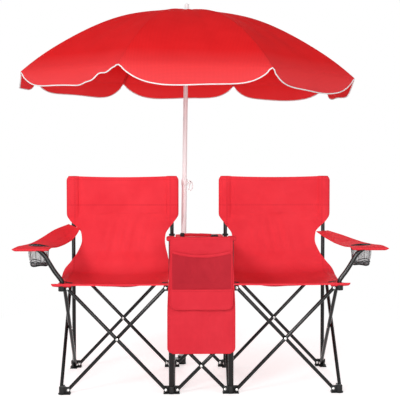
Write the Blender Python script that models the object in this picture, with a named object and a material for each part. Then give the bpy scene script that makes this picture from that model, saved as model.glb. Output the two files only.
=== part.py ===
"""Two-seat folding camp chair with a table, a cooler bag and a lift-out umbrella.

Units are metres, +Z is up and the seats face -Y. The origin is on the floor, midway between the
seats, where the umbrella's pole meets the floor seen from the side. Left is -X.
"""

import math

import bmesh
import bpy
from mathutils import Matrix, Vector

# Corners of the frame
OUTER_POST_X = 0.5305
INNER_POST_X = 0.1135
REAR_POST_Y = -0.05
CORNER_DEPTH = 0.417
FRONT_POST_Y = REAR_POST_Y - CORNER_DEPTH

# Crossing tubes, and the pins that they turn on
CROSS_TUBE_RADIUS = 0.007
CROSS_TUBE_END = 0.0045
CROSS_TUBE_SIDES = 12
LANE_GAP = 0.0004
LANE = CROSS_TUBE_RADIUS + LANE_GAP / 2
PIN_INSET = 0.0225
LOWER_PIN_Z = 0.0165
UPPER_PIN_Z = 0.4065
MIDDLE_UPPER_PIN_Z = 0.1995
RIVET_RADIUS = 0.005
RIVET_TOP_RADIUS = 0.0032
RIVET_HEIGHT = 0.0022
RIVET_ROOT = 0.003
RIVET_SIDES = 8

# Feet, collars and posts
POST_RADIUS = 0.008
POST_TOP_Z = 0.812
FRONT_POST_RADIUS = 0.01075
FRONT_POST_TOP_Z = 0.600
POST_SIDES = 14
COLLAR_GAP = 0.0004
COLLAR_WALL = 0.00245
BRACKET_CORE_RADIUS = 0.0136
BRACKET_SIDES = 16
EAR_THICKNESS = 0.007
EAR_END = 0.0078
EAR_CORNER = 0.006
FOOT_HEIGHT = 0.029
FOOT_BASE_HEIGHT = 0.0045
FOOT_BASE_HALF_WIDTH = 0.0145
COLLAR_HALF_HEIGHT = 0.0105
SEAT_GAP = 0.0003
OVERRUN = 0.01

# Arm tubes
ARM_TUBE_RADIUS = 0.009
ARM_SOCKET_DEPTH = 0.013
ARM_REACH = 0.170
ARM_TOP_Z = 0.543
ARM_TUBE_POINTS = 19

# Seat slings
SLING_THICKNESS = 0.003
SLING_ACROSS = 10
SLING_ALONG = 22
BACK_HALF_WIDTH = 0.236
WAIST_HALF_WIDTH = 0.1750
SEAT_HALF_WIDTH = 0.196
SEAT_LIP = 0.014
CREASE_RADIUS = 0.055
WAIST_TOP_Z = 0.545
BACK_FULL_WIDTH_Z = 0.650
SEAT_SAG = 0.040
BACK_BOW = 0.016
BOW_MARGIN = 0.040
BACK_REAR_GAP = 0.035

# Armrests with cup holders
ARMREST_THICKNESS = 0.004
ARMREST_TIP_X = 0.7150
ARMREST_FRONT_WIDTH = 0.135
ARMREST_REAR_WIDTH = 0.037
ARMREST_RISE = 0.056
ARMREST_DROOP = 0.022
ARMREST_LIP = 0.012
ARMREST_STEPS = 10
ARMREST_RISE_POWER = 1.4
CUP_X = 0.628
CUP_Y = -0.385
CUP_RADIUS = 0.040
CUP_WALL = 0.003
CUP_DEPTH = 0.072
CUP_RIM_RISE = 0.0155
CUP_SIDES = 20

# Table and cooler bag
TABLE_TOP_Z = 0.590
TABLE_THICKNESS = 0.015
TABLE_HALF_WIDTH = 0.0985
TABLE_REAR_Y = -0.042
BAG_PANEL_HALF_WIDTH = 0.123
BAG_PANEL_TOP_Z = 0.594
BAG_PANEL_BOTTOM_Z = 0.159
BAG_PANEL_THICKNESS = 0.004
BAG_PANEL_CORNER = 0.018
BAG_HALF_WIDTH = 0.088
BAG_BOTTOM_Z = 0.232
BAG_DEPTH = 0.215
BAG_CORNER = 0.016

# Umbrella
POLE_X = -0.0715
POLE_LEAN_DEG = 0.85
SOCKET_WALL = 0.0055
SOCKET_GAP = 0.0005
SOCKET_HEIGHT = 0.036
SOCKET_FLOOR = 0.0052
LOWER_POLE_RADIUS = 0.01125
LOWER_POLE_TOP = 0.800
UPPER_POLE_RADIUS = 0.0095
TELESCOPE_GAP = 0.0005
UPPER_POLE_BOTTOM = 0.520
POLE_SIDES = 16
POLE_COLLAR_RADIUS = 0.0150
POLE_COLLAR_BOTTOM = 0.772
POLE_COLLAR_RISE = 0.0032
KNOB_Z = 0.786
KNOB_STEM_RADIUS = 0.0035
KNOB_STEM_LENGTH = 0.007
KNOB_WING_THICKNESS = 0.010
KNOB_WING_LENGTH = 0.046
KNOB_WING_DEPTH = 0.014
CROWN_TOP = 1.519
CANOPY_RADIUS = 0.720
CANOPY_DROP = 0.276
CANOPY_THICKNESS = 0.002
CANOPY_HOLE_RADIUS = 0.0125
CANOPY_RINGS = 7
PANEL_COUNT = 8
PANEL_STEPS = 4
PANEL_TURN_DEG = 250.0
PANEL_SLACK = 0.010
VALANCE_DROP = 0.070
VALANCE_NOTCH_DROP = 0.012
VALANCE_FULLNESS = 1.4
RIB_RADIUS = 0.0024
RIB_CLEARANCE = 0.0006
RIB_TIP_INSET = 0.010
CROWN_DISC_RADIUS = 0.0190
CROWN_DISC_HEIGHT = 0.015
RIB_PIVOT_RADIUS = 0.0225
FINIAL_RADIUS = 0.0145
FINIAL_HEIGHT = 0.024
RUNNER_Z = 1.305
RUNNER_HEIGHT = 0.036
RUNNER_RADIUS = 0.0165
RUNNER_GAP = 0.0005

UP = Vector((0, 0, 1))
SIDES = {"left": -1, "right": 1}


def clear_scene():
    for thing in list(bpy.data.objects):
        bpy.data.objects.remove(thing, do_unlink=True)


def material(name, colour, roughness, metallic=0.0):
    """A material of a node's own, with a plain finish."""
    made = bpy.data.materials.new(name)
    made.use_nodes = True
    shader = made.node_tree.nodes["Principled BSDF"]
    shader.inputs["Base Color"].default_value = (*colour, 1)
    shader.inputs["Roughness"].default_value = roughness
    shader.inputs["Metallic"].default_value = metallic
    return made


def black_steel(name):
    return material(name, (0.012, 0.012, 0.013), 0.22, 0.6)


def black_plastic(name):
    return material(name, (0.015, 0.015, 0.016), 0.45)


def white_enamel(name):
    return material(name, (0.80, 0.79, 0.76), 0.35)


def red_cloth(name):
    return material(name, (0.75, 0.03, 0.05), 0.85)


def add_object(name, data, finish=None, parent=None, matrix=None):
    """Links data as an object at matrix, a world matrix. Without a finish it is a hidden cutter."""
    made = bpy.data.objects.new(name, data)
    bpy.context.scene.collection.objects.link(made)
    if parent:
        made.parent = parent
    bpy.context.view_layer.update()
    made.matrix_world = matrix or Matrix()
    if finish:
        made.data.materials.clear()
        made.data.materials.append(finish)
    else:
        made.hide_render = True
        made.display_type = "WIRE"
    return made


def mesh_from(name, shape):
    """Turns a bmesh into a mesh with outward faces, smooth where it is round."""
    bmesh.ops.recalc_face_normals(shape, faces=shape.faces)
    mesh = bpy.data.meshes.new(name)
    shape.to_mesh(mesh)
    shape.free()
    mesh.shade_smooth()
    mesh.set_sharp_from_angle(angle=math.radians(35))
    return mesh


def frame_matrix(origin, along, across):
    """A world matrix with local Z along one direction and local X across it."""
    z = Vector(along).normalized()
    x = (Vector(across) - Vector(across).dot(z) * z).normalized()
    rotation = Matrix((x, z.cross(x), z)).transposed()
    return Matrix.Translation(origin) @ rotation.to_4x4()


def cylinder(shape, bottom, top, radius, sides, top_radius=None, matrix=None):
    """Adds a cylinder or cone to a bmesh, between two heights on its own Z axis."""
    place = (matrix or Matrix()) @ Matrix.Translation((0, 0, (bottom + top) / 2))
    bmesh.ops.create_cone(
        shape,
        cap_ends=True,
        segments=sides,
        radius1=radius,
        radius2=radius if top_radius is None else top_radius,
        depth=top - bottom,
        matrix=place,
    )


def boolean(target, tool, operation):
    """Adds one exact boolean to an object, with a hidden tool."""
    modifier = target.modifiers.new(tool.name, "BOOLEAN")
    modifier.operation = operation
    modifier.solver = "EXACT"
    modifier.object = tool


def rivet_head(shape, outward, seat, matrix):
    """Adds a domed head whose washer face is seat away from the matrix's origin, along outward."""
    lay = matrix @ frame_matrix((0, 0, 0), outward, UP)
    cylinder(shape, seat - RIVET_ROOT, seat, RIVET_RADIUS, RIVET_SIDES, matrix=lay)
    cylinder(
        shape, seat, seat + RIVET_HEIGHT, RIVET_RADIUS, RIVET_SIDES, RIVET_TOP_RADIUS, lay
    )
    bmesh.ops.remove_doubles(shape, verts=shape.verts, dist=RIVET_HEIGHT / 20)
    inner = [f for f in shape.faces if all(len(e.link_faces) > 2 for e in f.edges)]
    bmesh.ops.delete(shape, geom=inner, context="FACES_ONLY")


def cross_tube(name, low, high, lane, pivot):
    """One tube of a crossing pair, from its low pin to its high pin, beside the pair's plane.

    Its origin is on pivot, the pin that it hangs from: its low one or the crossing itself.
    Rivet heads stand on its outer side, at both pins and halfway.
    """
    run = high - low
    start = -(pivot - low).length
    end = start + run.length
    place = frame_matrix(pivot, run, lane)
    shape = bmesh.new()
    offset = Matrix.Translation((LANE, 0, 0))
    cylinder(
        shape,
        start - CROSS_TUBE_END,
        end + CROSS_TUBE_END,
        CROSS_TUBE_RADIUS,
        CROSS_TUBE_SIDES,
        matrix=offset,
    )
    tube = add_object(name, mesh_from(name, shape), black_steel(name), matrix=place)
    heads = bmesh.new()
    for height in (start, (start + end) / 2, end):
        spot = bmesh.new()
        rivet_head(spot, (1, 0, 0), LANE + CROSS_TUBE_RADIUS, Matrix())
        bmesh.ops.translate(spot, verts=spot.verts, vec=(0, 0, height))
        piece = bpy.data.meshes.new(name + "_head")
        spot.to_mesh(piece)
        spot.free()
        heads.from_mesh(piece)
    tool = add_object(name + "_rivets", mesh_from(name + "_rivets", heads), matrix=place)
    boolean(tube, tool, "UNION")
    return tube


def ear_prism(direction, side, bottom, top, with_base):
    """An ear that runs from a bracket's core past its pin, on one side of the pair's plane.

    A foot's ear has a flat sole under both lanes, so its section is an L.
    """
    face = LANE_GAP / 2
    back = face + EAR_THICKNESS
    if with_base:
        section = [
            (-FOOT_BASE_HALF_WIDTH, bottom),
            (FOOT_BASE_HALF_WIDTH, bottom),
            (FOOT_BASE_HALF_WIDTH, bottom + FOOT_BASE_HEIGHT),
            (back, bottom + FOOT_BASE_HEIGHT),
            (back, top),
            (face, top),
            (face, bottom + FOOT_BASE_HEIGHT),
            (-FOOT_BASE_HALF_WIDTH, bottom + FOOT_BASE_HEIGHT),
        ]
    else:
        section = [(face, bottom), (back, bottom), (back, top), (face, top)]
    shape = bmesh.new()
    ring = [shape.verts.new(side * across + UP * height) for across, height in section]
    profile = shape.faces.new(ring)
    grown = bmesh.ops.extrude_face_region(shape, geom=[profile])["geom"]
    far = [v for v in grown if isinstance(v, bmesh.types.BMVert)]
    reach = PIN_INSET + EAR_END
    bmesh.ops.translate(shape, verts=far, vec=direction * reach)
    rounded = []
    for edge in shape.edges:
        ends = [v.co for v in edge.verts]
        at_end = all(abs(c.dot(direction) - reach) < LANE_GAP for c in ends)
        on_ear = all(c.dot(side) > face - LANE_GAP / 4 for c in ends)
        high = all(abs(c.z - top) < LANE_GAP for c in ends)
        low = not with_base and all(abs(c.z - bottom) < LANE_GAP for c in ends)
        level = abs(ends[0].z - ends[1].z) < LANE_GAP
        if at_end and on_ear and level and (high or low):
            rounded.append(edge)
    bmesh.ops.bevel(
        shape,
        geom=rounded,
        offset=EAR_CORNER,
        segments=3,
        profile=0.5,
        affect="EDGES",
        material=-1,
    )
    return shape


def bracket(name, corner, pin_z, core, bottom, top, ears, finish, with_base=False, bore=None):
    """A foot or a collar: a round core with one ear for each tube that is pinned to it.

    ears holds (direction, side) pairs. bore is (radius, bottom height, top height), or None.
    Its origin is on its first ear's pin, the one that it hangs from.
    """
    place = Matrix.Translation((*corner, 0))
    shape = bmesh.new()
    cylinder(shape, bottom, top, core, BRACKET_SIDES)
    body = add_object(name, mesh_from(name, shape), finish, matrix=place)
    for count, (direction, side) in enumerate(ears):
        ear = ear_prism(direction, side, bottom, top, with_base)
        title = f"{name}_ear_{count}"
        boolean(body, add_object(title, mesh_from(title, ear), matrix=place), "UNION")
        head = bmesh.new()
        seat = LANE_GAP / 2 + EAR_THICKNESS
        spot = Matrix.Translation(direction * PIN_INSET + UP * pin_z)
        rivet_head(head, side, seat, spot)
        title = f"{name}_ear_rivet_{count}"
        boolean(body, add_object(title, mesh_from(title, head), matrix=place), "UNION")
    if bore:
        radius, low, high = bore
        hole = bmesh.new()
        cylinder(hole, low, high, radius, BRACKET_SIDES)
        title = name + "_bore"
        boolean(body, add_object(title, mesh_from(title, hole), matrix=place), "DIFFERENCE")
    hang = ears[0][0] * PIN_INSET + UP * pin_z
    body.data.transform(Matrix.Translation(-hang))
    body.matrix_world = place @ Matrix.Translation(hang)
    bpy.context.view_layer.update()
    return body


def corner_position(side, reach, depth):
    """Plan position of a corner: side is left or right, reach inner or outer, depth front or rear."""
    x = SIDES[side] * (INNER_POST_X if reach == "inner" else OUTER_POST_X)
    return Vector((x, FRONT_POST_Y if depth == "front" else REAR_POST_Y, 0))


def cross_plan():
    """Every crossing pair: name, its two corners, the side its first tube lies on, its height.

    They come in the order in which they carry each other, from the left chair's inner rear foot.
    """
    plan = []
    forward = Vector((0, -1, 0))
    for side, sign in SIDES.items():
        outward = Vector((sign, 0, 0))
        inner_front, inner_rear = (side, "inner", "front"), (side, "inner", "rear")
        outer_front, outer_rear = (side, "outer", "front"), (side, "outer", "rear")
        plan += [
            (f"{side}_rear", inner_rear, outer_rear, -forward, UPPER_PIN_Z),
            (f"{side}_inner", inner_rear, inner_front, outward, UPPER_PIN_Z),
            (f"{side}_front", inner_front, outer_front, forward, UPPER_PIN_Z),
            (f"{side}_outer", outer_front, outer_rear, outward, UPPER_PIN_Z),
        ]
        depth = "rear" if side == "left" else "front"
        ends = [(end, "inner", depth) for end in SIDES]
        plan.append((f"middle_{depth}", *ends, forward, MIDDLE_UPPER_PIN_Z))
    return plan


def make_crosses():
    """Makes both tubes of every pair and returns each bracket's ears, by kind and corner."""
    ears = {}
    for name, first, second, lane, upper_z in cross_plan():
        one, two = corner_position(*first), corner_position(*second)
        along = (two - one).normalized()
        near, far = one + along * PIN_INSET, two - along * PIN_INSET
        low, high = UP * LOWER_PIN_Z, UP * upper_z
        crossing = (near + far + low + high) / 2
        cross_tube(f"{name}_cross_a", near + low, far + high, lane, near + low)
        cross_tube(f"{name}_cross_b", far + low, near + high, -lane, crossing)
        upper = "low_collar" if name.startswith("middle") else "hub"
        ears.setdefault(("foot", first), []).append((along, -lane))
        ears.setdefault(("foot", second), []).append((-along, lane))
        ears.setdefault((upper, second), []).append((-along, -lane))
        ears.setdefault((upper, first), []).append((along, lane))
    return ears


def post_radius(corner):
    return FRONT_POST_RADIUS if corner[2] == "front" else POST_RADIUS


def has_post(corner):
    return corner[1:] != ("outer", "front")


def make_leg(corner, ears):
    """A foot bracket with the post that stands in it, where that corner has one."""
    side, reach, depth = corner
    name = f"{side}_{reach}_{depth}_leg" if has_post(corner) else f"{side}_{reach}_{depth}_foot"
    at = corner_position(*corner)
    body = bracket(
        name,
        at.xy,
        LOWER_PIN_Z,
        BRACKET_CORE_RADIUS,
        0,
        FOOT_HEIGHT,
        ears,
        black_steel(name),
        with_base=True,
    )
    if has_post(corner):
        top = FRONT_POST_TOP_Z if depth == "front" else POST_TOP_Z
        radius = post_radius(corner)
        post = bmesh.new()
        cylinder(post, FOOT_HEIGHT / 2, top, radius, POST_SIDES)
        title = name + "_post"
        tool = add_object(title, mesh_from(title, post), matrix=Matrix.Translation(at))
        boolean(body, tool, "UNION")
    return body


def make_hub(corner, ears):
    """A seat-level hub: a collar that slides on its post, or the arm tube's socket."""
    side, reach, depth = corner
    name = f"{side}_{reach}_{depth}_hub"
    bottom, top = UPPER_PIN_Z - COLLAR_HALF_HEIGHT, UPPER_PIN_Z + COLLAR_HALF_HEIGHT
    if has_post(corner):
        bore_radius = post_radius(corner) + COLLAR_GAP
        core = bore_radius + COLLAR_WALL
        bore = (bore_radius, bottom - OVERRUN, top + OVERRUN)
    else:
        core = BRACKET_CORE_RADIUS
        bore = (ARM_TUBE_RADIUS + COLLAR_GAP, top - ARM_SOCKET_DEPTH, top + OVERRUN)
    at = corner_position(*corner)
    return bracket(
        name, at.xy, UPPER_PIN_Z, core, bottom, top, ears, black_plastic(name), bore=bore
    )


def make_low_collar(corner, ears):
    """A collar low on an inner post, which carries the small cross's upper ends."""
    side, _, depth = corner
    name = f"{side}_{depth}_low_collar"
    bore_radius = post_radius(corner) + COLLAR_GAP
    bottom = MIDDLE_UPPER_PIN_Z - COLLAR_HALF_HEIGHT
    top = MIDDLE_UPPER_PIN_Z + COLLAR_HALF_HEIGHT
    return bracket(
        name,
        corner_position(*corner).xy,
        MIDDLE_UPPER_PIN_Z,
        bore_radius + COLLAR_WALL,
        bottom,
        top,
        ears,
        black_plastic(name),
        bore=(bore_radius, bottom - OVERRUN, top + OVERRUN),
    )


def smooth_path(points, count):
    """Evenly numbered points on a smooth curve through the given points."""
    ends = [2 * points[0] - points[1], *points, 2 * points[-1] - points[-2]]
    found = []
    for step in range(count):
        place = step * (len(points) - 1) / (count - 1)
        span = min(int(place), len(points) - 2)
        t = place - span
        a, b, c, d = ends[span : span + 4]
        bend = (2 * a - 5 * b + 4 * c - d) * t**2 + (3 * b - 3 * c + d - a) * t**3
        found.append((2 * b + (c - a) * t + bend) / 2)
    return found


def round_rod(name, points, radius, resolution, finish, parent=None, matrix=None):
    """A bent rod: a curve with a round bevel and filled ends."""
    curve = bpy.data.curves.new(name, "CURVE")
    curve.dimensions = "3D"
    curve.bevel_depth = radius
    curve.bevel_resolution = resolution
    curve.use_fill_caps = True
    spline = curve.splines.new("POLY")
    spline.points.add(len(points) - 1)
    for spot, point in zip(spline.points, points):
        spot.co = (*point, 1)
    return add_object(name, curve, finish, parent, matrix)


def make_arm_tube(side, hub):
    """The tube that rises out of the outer front hub and bends outwards under the armrest."""
    sign = SIDES[side]
    at = corner_position(side, "outer", "front")
    start = UPPER_PIN_Z + COLLAR_HALF_HEIGHT - ARM_SOCKET_DEPTH + SEAT_GAP
    rise = ARM_TOP_Z - start
    shares = [
        (0, 0),
        (0, 0.10),
        (0, 0.20),
        (0.05, 0.30),
        (0.153, 0.47),
        (0.29, 0.74),
        (0.38, 0.92),
        (0.50, 1.0),
        (0.75, 1.0),
        (1.0, 1.0),
    ]
    points = [
        Vector((sign * across * ARM_REACH, 0, start + up * rise)) for across, up in shares
    ]
    name = f"{side}_arm_tube"
    path = smooth_path(points, ARM_TUBE_POINTS)
    place = Matrix.Translation(at)
    return round_rod(name, path, ARM_TUBE_RADIUS, 2, black_steel(name), hub, place)


def sling_profile():
    """The sling's middle line seen from the side: seat, crease and back, as (y, z) by length."""
    hub_top = UPPER_PIN_Z + COLLAR_HALF_HEIGHT
    seat_z = hub_top + SEAT_GAP + SLING_THICKNESS / 2
    front_y = FRONT_POST_Y - SEAT_LIP
    back_y = REAR_POST_Y - BACK_REAR_GAP
    top_y = REAR_POST_Y - POST_RADIUS - SEAT_GAP - SLING_THICKNESS / 2
    top_z = POST_TOP_Z
    seat = back_y - CREASE_RADIUS - front_y
    bend = CREASE_RADIUS * math.pi / 2
    rise = top_z - seat_z - CREASE_RADIUS
    total = seat + bend + rise

    def at(share):
        run = share * total
        if run < seat:
            return front_y + run, seat_z
        if run < seat + bend:
            angle = (run - seat) / CREASE_RADIUS
            y = back_y - CREASE_RADIUS + CREASE_RADIUS * math.sin(angle)
            return y, seat_z + CREASE_RADIUS * (1 - math.cos(angle))
        up = run - seat - bend
        lean = ease(up / (WAIST_TOP_Z - seat_z))
        return back_y + (top_y - back_y) * lean, seat_z + CREASE_RADIUS + up

    return at, (seat + bend) / total


def ease(t):
    t = min(max(t, 0), 1)
    return t * t * (3 - 2 * t)


def make_sling(side, leg):
    """A seat and back cut from one cloth: wide between the rear posts, waisted, then the seat."""
    sign = SIDES[side]
    centre = sign * (INNER_POST_X + OUTER_POST_X) / 2
    free_half = (OUTER_POST_X - INNER_POST_X) / 2 - BOW_MARGIN
    at, seat_share = sling_profile()
    shape = bmesh.new()
    bmesh.ops.create_grid(shape, x_segments=SLING_ACROSS, y_segments=SLING_ALONG, size=1)
    for vert in shape.verts:
        across, along = vert.co.x, (vert.co.y + 1) / 2
        y, z = at(along)
        on_seat = min(along / seat_share, 1)
        slack = 1 - across**2
        if along < seat_share:
            half = SEAT_HALF_WIDTH + (WAIST_HALF_WIDTH - SEAT_HALF_WIDTH) * ease(on_seat)
        else:
            spread = (z - WAIST_TOP_Z) / (BACK_FULL_WIDTH_Z - WAIST_TOP_Z)
            half = WAIST_HALF_WIDTH + (BACK_HALF_WIDTH - WAIST_HALF_WIDTH) * ease(spread)
        z -= SEAT_SAG * slack * math.sin(math.pi * on_seat) ** 2
        bow = ease((along - seat_share) / (1 - seat_share) * 2)
        bow *= max(0, 1 - (across * half / free_half) ** 2)
        vert.co = Vector((centre + across * half, y + BACK_BOW * bow, z))
    name = f"{side}_seat_sling"
    sling = add_object(name, mesh_from(name, shape), red_cloth(name), leg)
    thicken(sling, SLING_THICKNESS)
    return sling


def thicken(target, thickness):
    modifier = target.modifiers.new("thickness", "SOLIDIFY")
    modifier.thickness = thickness
    modifier.offset = 0
    return modifier


def make_armrest(side, hub):
    """A padded cloth strip from the arm tube's end to the rear post, with a hanging cup holder."""
    sign = SIDES[side]
    front_y = FRONT_POST_Y - ARMREST_LIP
    rear_y = REAR_POST_Y - POST_RADIUS - 3 * SEAT_GAP - SLING_THICKNESS
    rest_z = ARM_TOP_Z + ARM_TUBE_RADIUS + SEAT_GAP + ARMREST_THICKNESS / 2
    rear_outer = OUTER_POST_X + ARMREST_REAR_WIDTH / 2
    rear_inner = OUTER_POST_X - ARMREST_REAR_WIDTH / 2
    front_inner = ARMREST_TIP_X - ARMREST_FRONT_WIDTH
    shape = bmesh.new()
    bmesh.ops.create_grid(shape, x_segments=3, y_segments=ARMREST_STEPS, size=1)
    for vert in shape.verts:
        across, along = (vert.co.x + 1) / 2, (vert.co.y + 1) / 2
        outer = ARMREST_TIP_X + (rear_outer - ARMREST_TIP_X) * along
        inner = front_inner + (rear_inner - front_inner) * along
        x = inner + (outer - inner) * across
        z = rest_z + ARMREST_RISE * along**ARMREST_RISE_POWER
        z -= ARMREST_DROOP * (1 - across) * math.sin(math.pi * along) ** 2
        vert.co = Vector((sign * x, front_y + (rear_y - front_y) * along, z))
    name = f"{side}_armrest"
    armrest = add_object(name, mesh_from(name, shape), red_cloth(name), hub)
    thicken(armrest, ARMREST_THICKNESS)
    place = Matrix.Translation((sign * CUP_X, CUP_Y, 0))
    top = rest_z + CUP_RIM_RISE
    bottom = top - CUP_DEPTH
    outside, inside = bmesh.new(), bmesh.new()
    cylinder(outside, bottom, top, CUP_RADIUS, CUP_SIDES)
    cylinder(inside, bottom + CUP_WALL, top + OVERRUN, CUP_RADIUS - CUP_WALL, CUP_SIDES)
    cup = add_object(name + "_cup", mesh_from(name + "_cup", outside), matrix=place)
    hollow = add_object(name + "_hollow", mesh_from(name + "_hollow", inside), matrix=place)
    boolean(armrest, cup, "UNION")
    boolean(armrest, hollow, "DIFFERENCE")
    return armrest


def box(low, high):
    """A box between two opposite corners."""
    shape = bmesh.new()
    size = [b - a for a, b in zip(low, high)]
    middle = [(a + b) / 2 for a, b in zip(low, high)]
    place = Matrix.Translation(middle) @ Matrix.Diagonal((*size, 1))
    bmesh.ops.create_cube(shape, size=1, matrix=place)
    return shape


def round_edges(shape, axis, where, radius):
    """Rounds the edges that run along one axis and pass the test."""
    chosen = []
    for edge in shape.edges:
        a, b = (v.co for v in edge.verts)
        if abs((b - a).normalized()[axis]) > math.cos(math.radians(1)) and where((a + b) / 2):
            chosen.append(edge)
    bmesh.ops.bevel(
        shape, geom=chosen, offset=radius, segments=3, profile=0.5, affect="EDGES", material=-1
    )
    return shape


def make_cooler_table(leg):
    """The cloth table top between the inner posts, with the cooler bag sewn under its front."""
    name = "cooler_table"
    tube_face = FRONT_POST_Y - LANE - CROSS_TUBE_RADIUS - RIVET_HEIGHT - LANE_GAP
    panel = box(
        (-BAG_PANEL_HALF_WIDTH, tube_face - BAG_PANEL_THICKNESS, BAG_PANEL_BOTTOM_Z),
        (BAG_PANEL_HALF_WIDTH, tube_face, BAG_PANEL_TOP_Z),
    )
    middle_z = (BAG_PANEL_BOTTOM_Z + BAG_PANEL_TOP_Z) / 2
    round_edges(panel, 1, lambda at: at.z < middle_z, BAG_PANEL_CORNER)
    body = add_object(name, mesh_from(name, panel), red_cloth(name), leg)
    sewn = tube_face - BAG_PANEL_THICKNESS / 2
    bag = box(
        (-BAG_HALF_WIDTH, sewn, BAG_BOTTOM_Z),
        (BAG_HALF_WIDTH, tube_face + BAG_DEPTH, TABLE_TOP_Z - TABLE_THICKNESS / 2),
    )
    middle_y = tube_face + BAG_DEPTH / 2
    round_edges(bag, 0, lambda at: at.y > middle_y and at.z < middle_z, BAG_CORNER)
    top = box(
        (-TABLE_HALF_WIDTH, sewn, TABLE_TOP_Z - TABLE_THICKNESS),
        (TABLE_HALF_WIDTH, TABLE_REAR_Y, TABLE_TOP_Z),
    )
    for title, shape in (("cooler_bag_tool", bag), ("table_top_tool", top)):
        boolean(body, add_object(title, mesh_from(title, shape)), "UNION")
    return body


def umbrella_axis():
    """An empty on the floor at the pole's foot, leaning as the pole leans."""
    empty = bpy.data.objects.new("umbrella_axis", None)
    bpy.context.scene.collection.objects.link(empty)
    empty.matrix_world = Matrix.Translation((POLE_X, 0, 0)) @ Matrix.Rotation(
        math.radians(POLE_LEAN_DEG), 4, "Y"
    )
    bpy.context.view_layer.update()
    return empty


def add_socket(leg, axis):
    """Grows the umbrella's socket out of the left chair's inner rear foot."""
    corner = corner_position("left", "inner", "rear")
    bore_radius = LOWER_POLE_RADIUS + SOCKET_GAP
    cup = bmesh.new()
    cylinder(cup, 0, SOCKET_HEIGHT, bore_radius + SOCKET_WALL, BRACKET_SIDES)
    place = Matrix.Translation((POLE_X, 0, 0))
    tool = add_object("socket_cup", mesh_from("socket_cup", cup), matrix=place)
    boolean(leg, tool, "UNION")
    behind_tubes = corner.y + LANE_GAP / 2
    arm = box((corner.x, behind_tubes, 0), (POLE_X, 0, FOOT_HEIGHT))
    boolean(leg, add_object("socket_arm", mesh_from("socket_arm", arm)), "UNION")
    hole = bmesh.new()
    cylinder(hole, SOCKET_FLOOR, SOCKET_HEIGHT + OVERRUN, bore_radius, POLE_SIDES)
    place = axis.matrix_world.copy()
    tool = add_object("socket_bore", mesh_from("socket_bore", hole), matrix=place)
    boolean(leg, tool, "DIFFERENCE")


def make_lower_pole(axis):
    """The wide lower tube, with the clamp collar fixed on its top."""
    name = "lower_pole"
    bottom = SOCKET_FLOOR + SEAT_GAP
    shape = bmesh.new()
    cylinder(shape, bottom, LOWER_POLE_TOP, LOWER_POLE_RADIUS, POLE_SIDES)
    place = axis.matrix_world.copy()
    pole = add_object(name, mesh_from(name, shape), white_enamel(name), axis, place)
    collar = bmesh.new()
    collar_top = LOWER_POLE_TOP + POLE_COLLAR_RISE
    cylinder(collar, POLE_COLLAR_BOTTOM, collar_top, POLE_COLLAR_RADIUS, POLE_SIDES)
    tool = add_object("pole_collar", mesh_from("pole_collar", collar), None, axis, place)
    boolean(pole, tool, "UNION")
    hole = bmesh.new()
    bore_radius = UPPER_POLE_RADIUS + TELESCOPE_GAP
    cylinder(hole, bottom - OVERRUN, collar_top + OVERRUN, bore_radius, POLE_SIDES)
    tool = add_object("lower_pole_bore", mesh_from("lower_pole_bore", hole), None, axis, place)
    boolean(pole, tool, "DIFFERENCE")
    return pole


def make_knob(axis):
    """The clamp's winged knob, which turns on a screw in the collar's right side."""
    name = "clamp_knob"
    place = axis.matrix_world @ frame_matrix((0, 0, KNOB_Z), (1, 0, 0), UP)
    start = POLE_COLLAR_RADIUS + SEAT_GAP
    wing_start = start + KNOB_STEM_LENGTH
    shape = bmesh.new()
    stem_end = wing_start + KNOB_WING_DEPTH / 2
    cylinder(shape, start, stem_end, KNOB_STEM_RADIUS, BRACKET_SIDES)
    knob = add_object(name, mesh_from(name, shape), white_enamel(name), axis, place)
    wing = box(
        (-KNOB_WING_LENGTH / 2, -KNOB_WING_THICKNESS / 2, wing_start),
        (KNOB_WING_LENGTH / 2, KNOB_WING_THICKNESS / 2, wing_start + KNOB_WING_DEPTH),
    )
    round_edges(wing, 1, lambda at: True, KNOB_WING_DEPTH / 3)
    tool = add_object("knob_wing", mesh_from("knob_wing", wing), None, axis, place)
    boolean(knob, tool, "UNION")
    return knob


def canopy_radius_of_arc():
    return (CANOPY_RADIUS**2 + CANOPY_DROP**2) / (2 * CANOPY_DROP)


def dome_height(radius):
    """Height of the canopy's cloth over a rib, at a distance from the pole."""
    arc = canopy_radius_of_arc()
    return CROWN_TOP - arc + math.sqrt(arc**2 - radius**2)


def make_upper_pole(axis):
    """The slim upper tube with the crown that holds the ribs and the finial on top."""
    name = "upper_pole"
    cloth_low = dome_height(CANOPY_HOLE_RADIUS) - CANOPY_THICKNESS / 2
    cloth_high = CROWN_TOP + CANOPY_THICKNESS / 2
    disc_top = cloth_low - SEAT_GAP - CANOPY_THICKNESS
    cap_bottom = cloth_high + SEAT_GAP
    place = axis.matrix_world.copy()
    shape = bmesh.new()
    cylinder(
        shape, UPPER_POLE_BOTTOM, cap_bottom + FINIAL_HEIGHT / 4, UPPER_POLE_RADIUS, POLE_SIDES
    )
    pole = add_object(name, mesh_from(name, shape), white_enamel(name), axis, place)
    parts = {
        "crown_disc": (disc_top - CROWN_DISC_HEIGHT, disc_top, CROWN_DISC_RADIUS, None),
        "finial": (cap_bottom, cap_bottom + FINIAL_HEIGHT, FINIAL_RADIUS, FINIAL_RADIUS / 2),
    }
    for title, (low, high, radius, top_radius) in parts.items():
        piece = bmesh.new()
        cylinder(piece, low, high, radius, POLE_SIDES, top_radius)
        boolean(pole, add_object(title, mesh_from(title, piece), None, axis, place), "UNION")
    return pole


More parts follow.
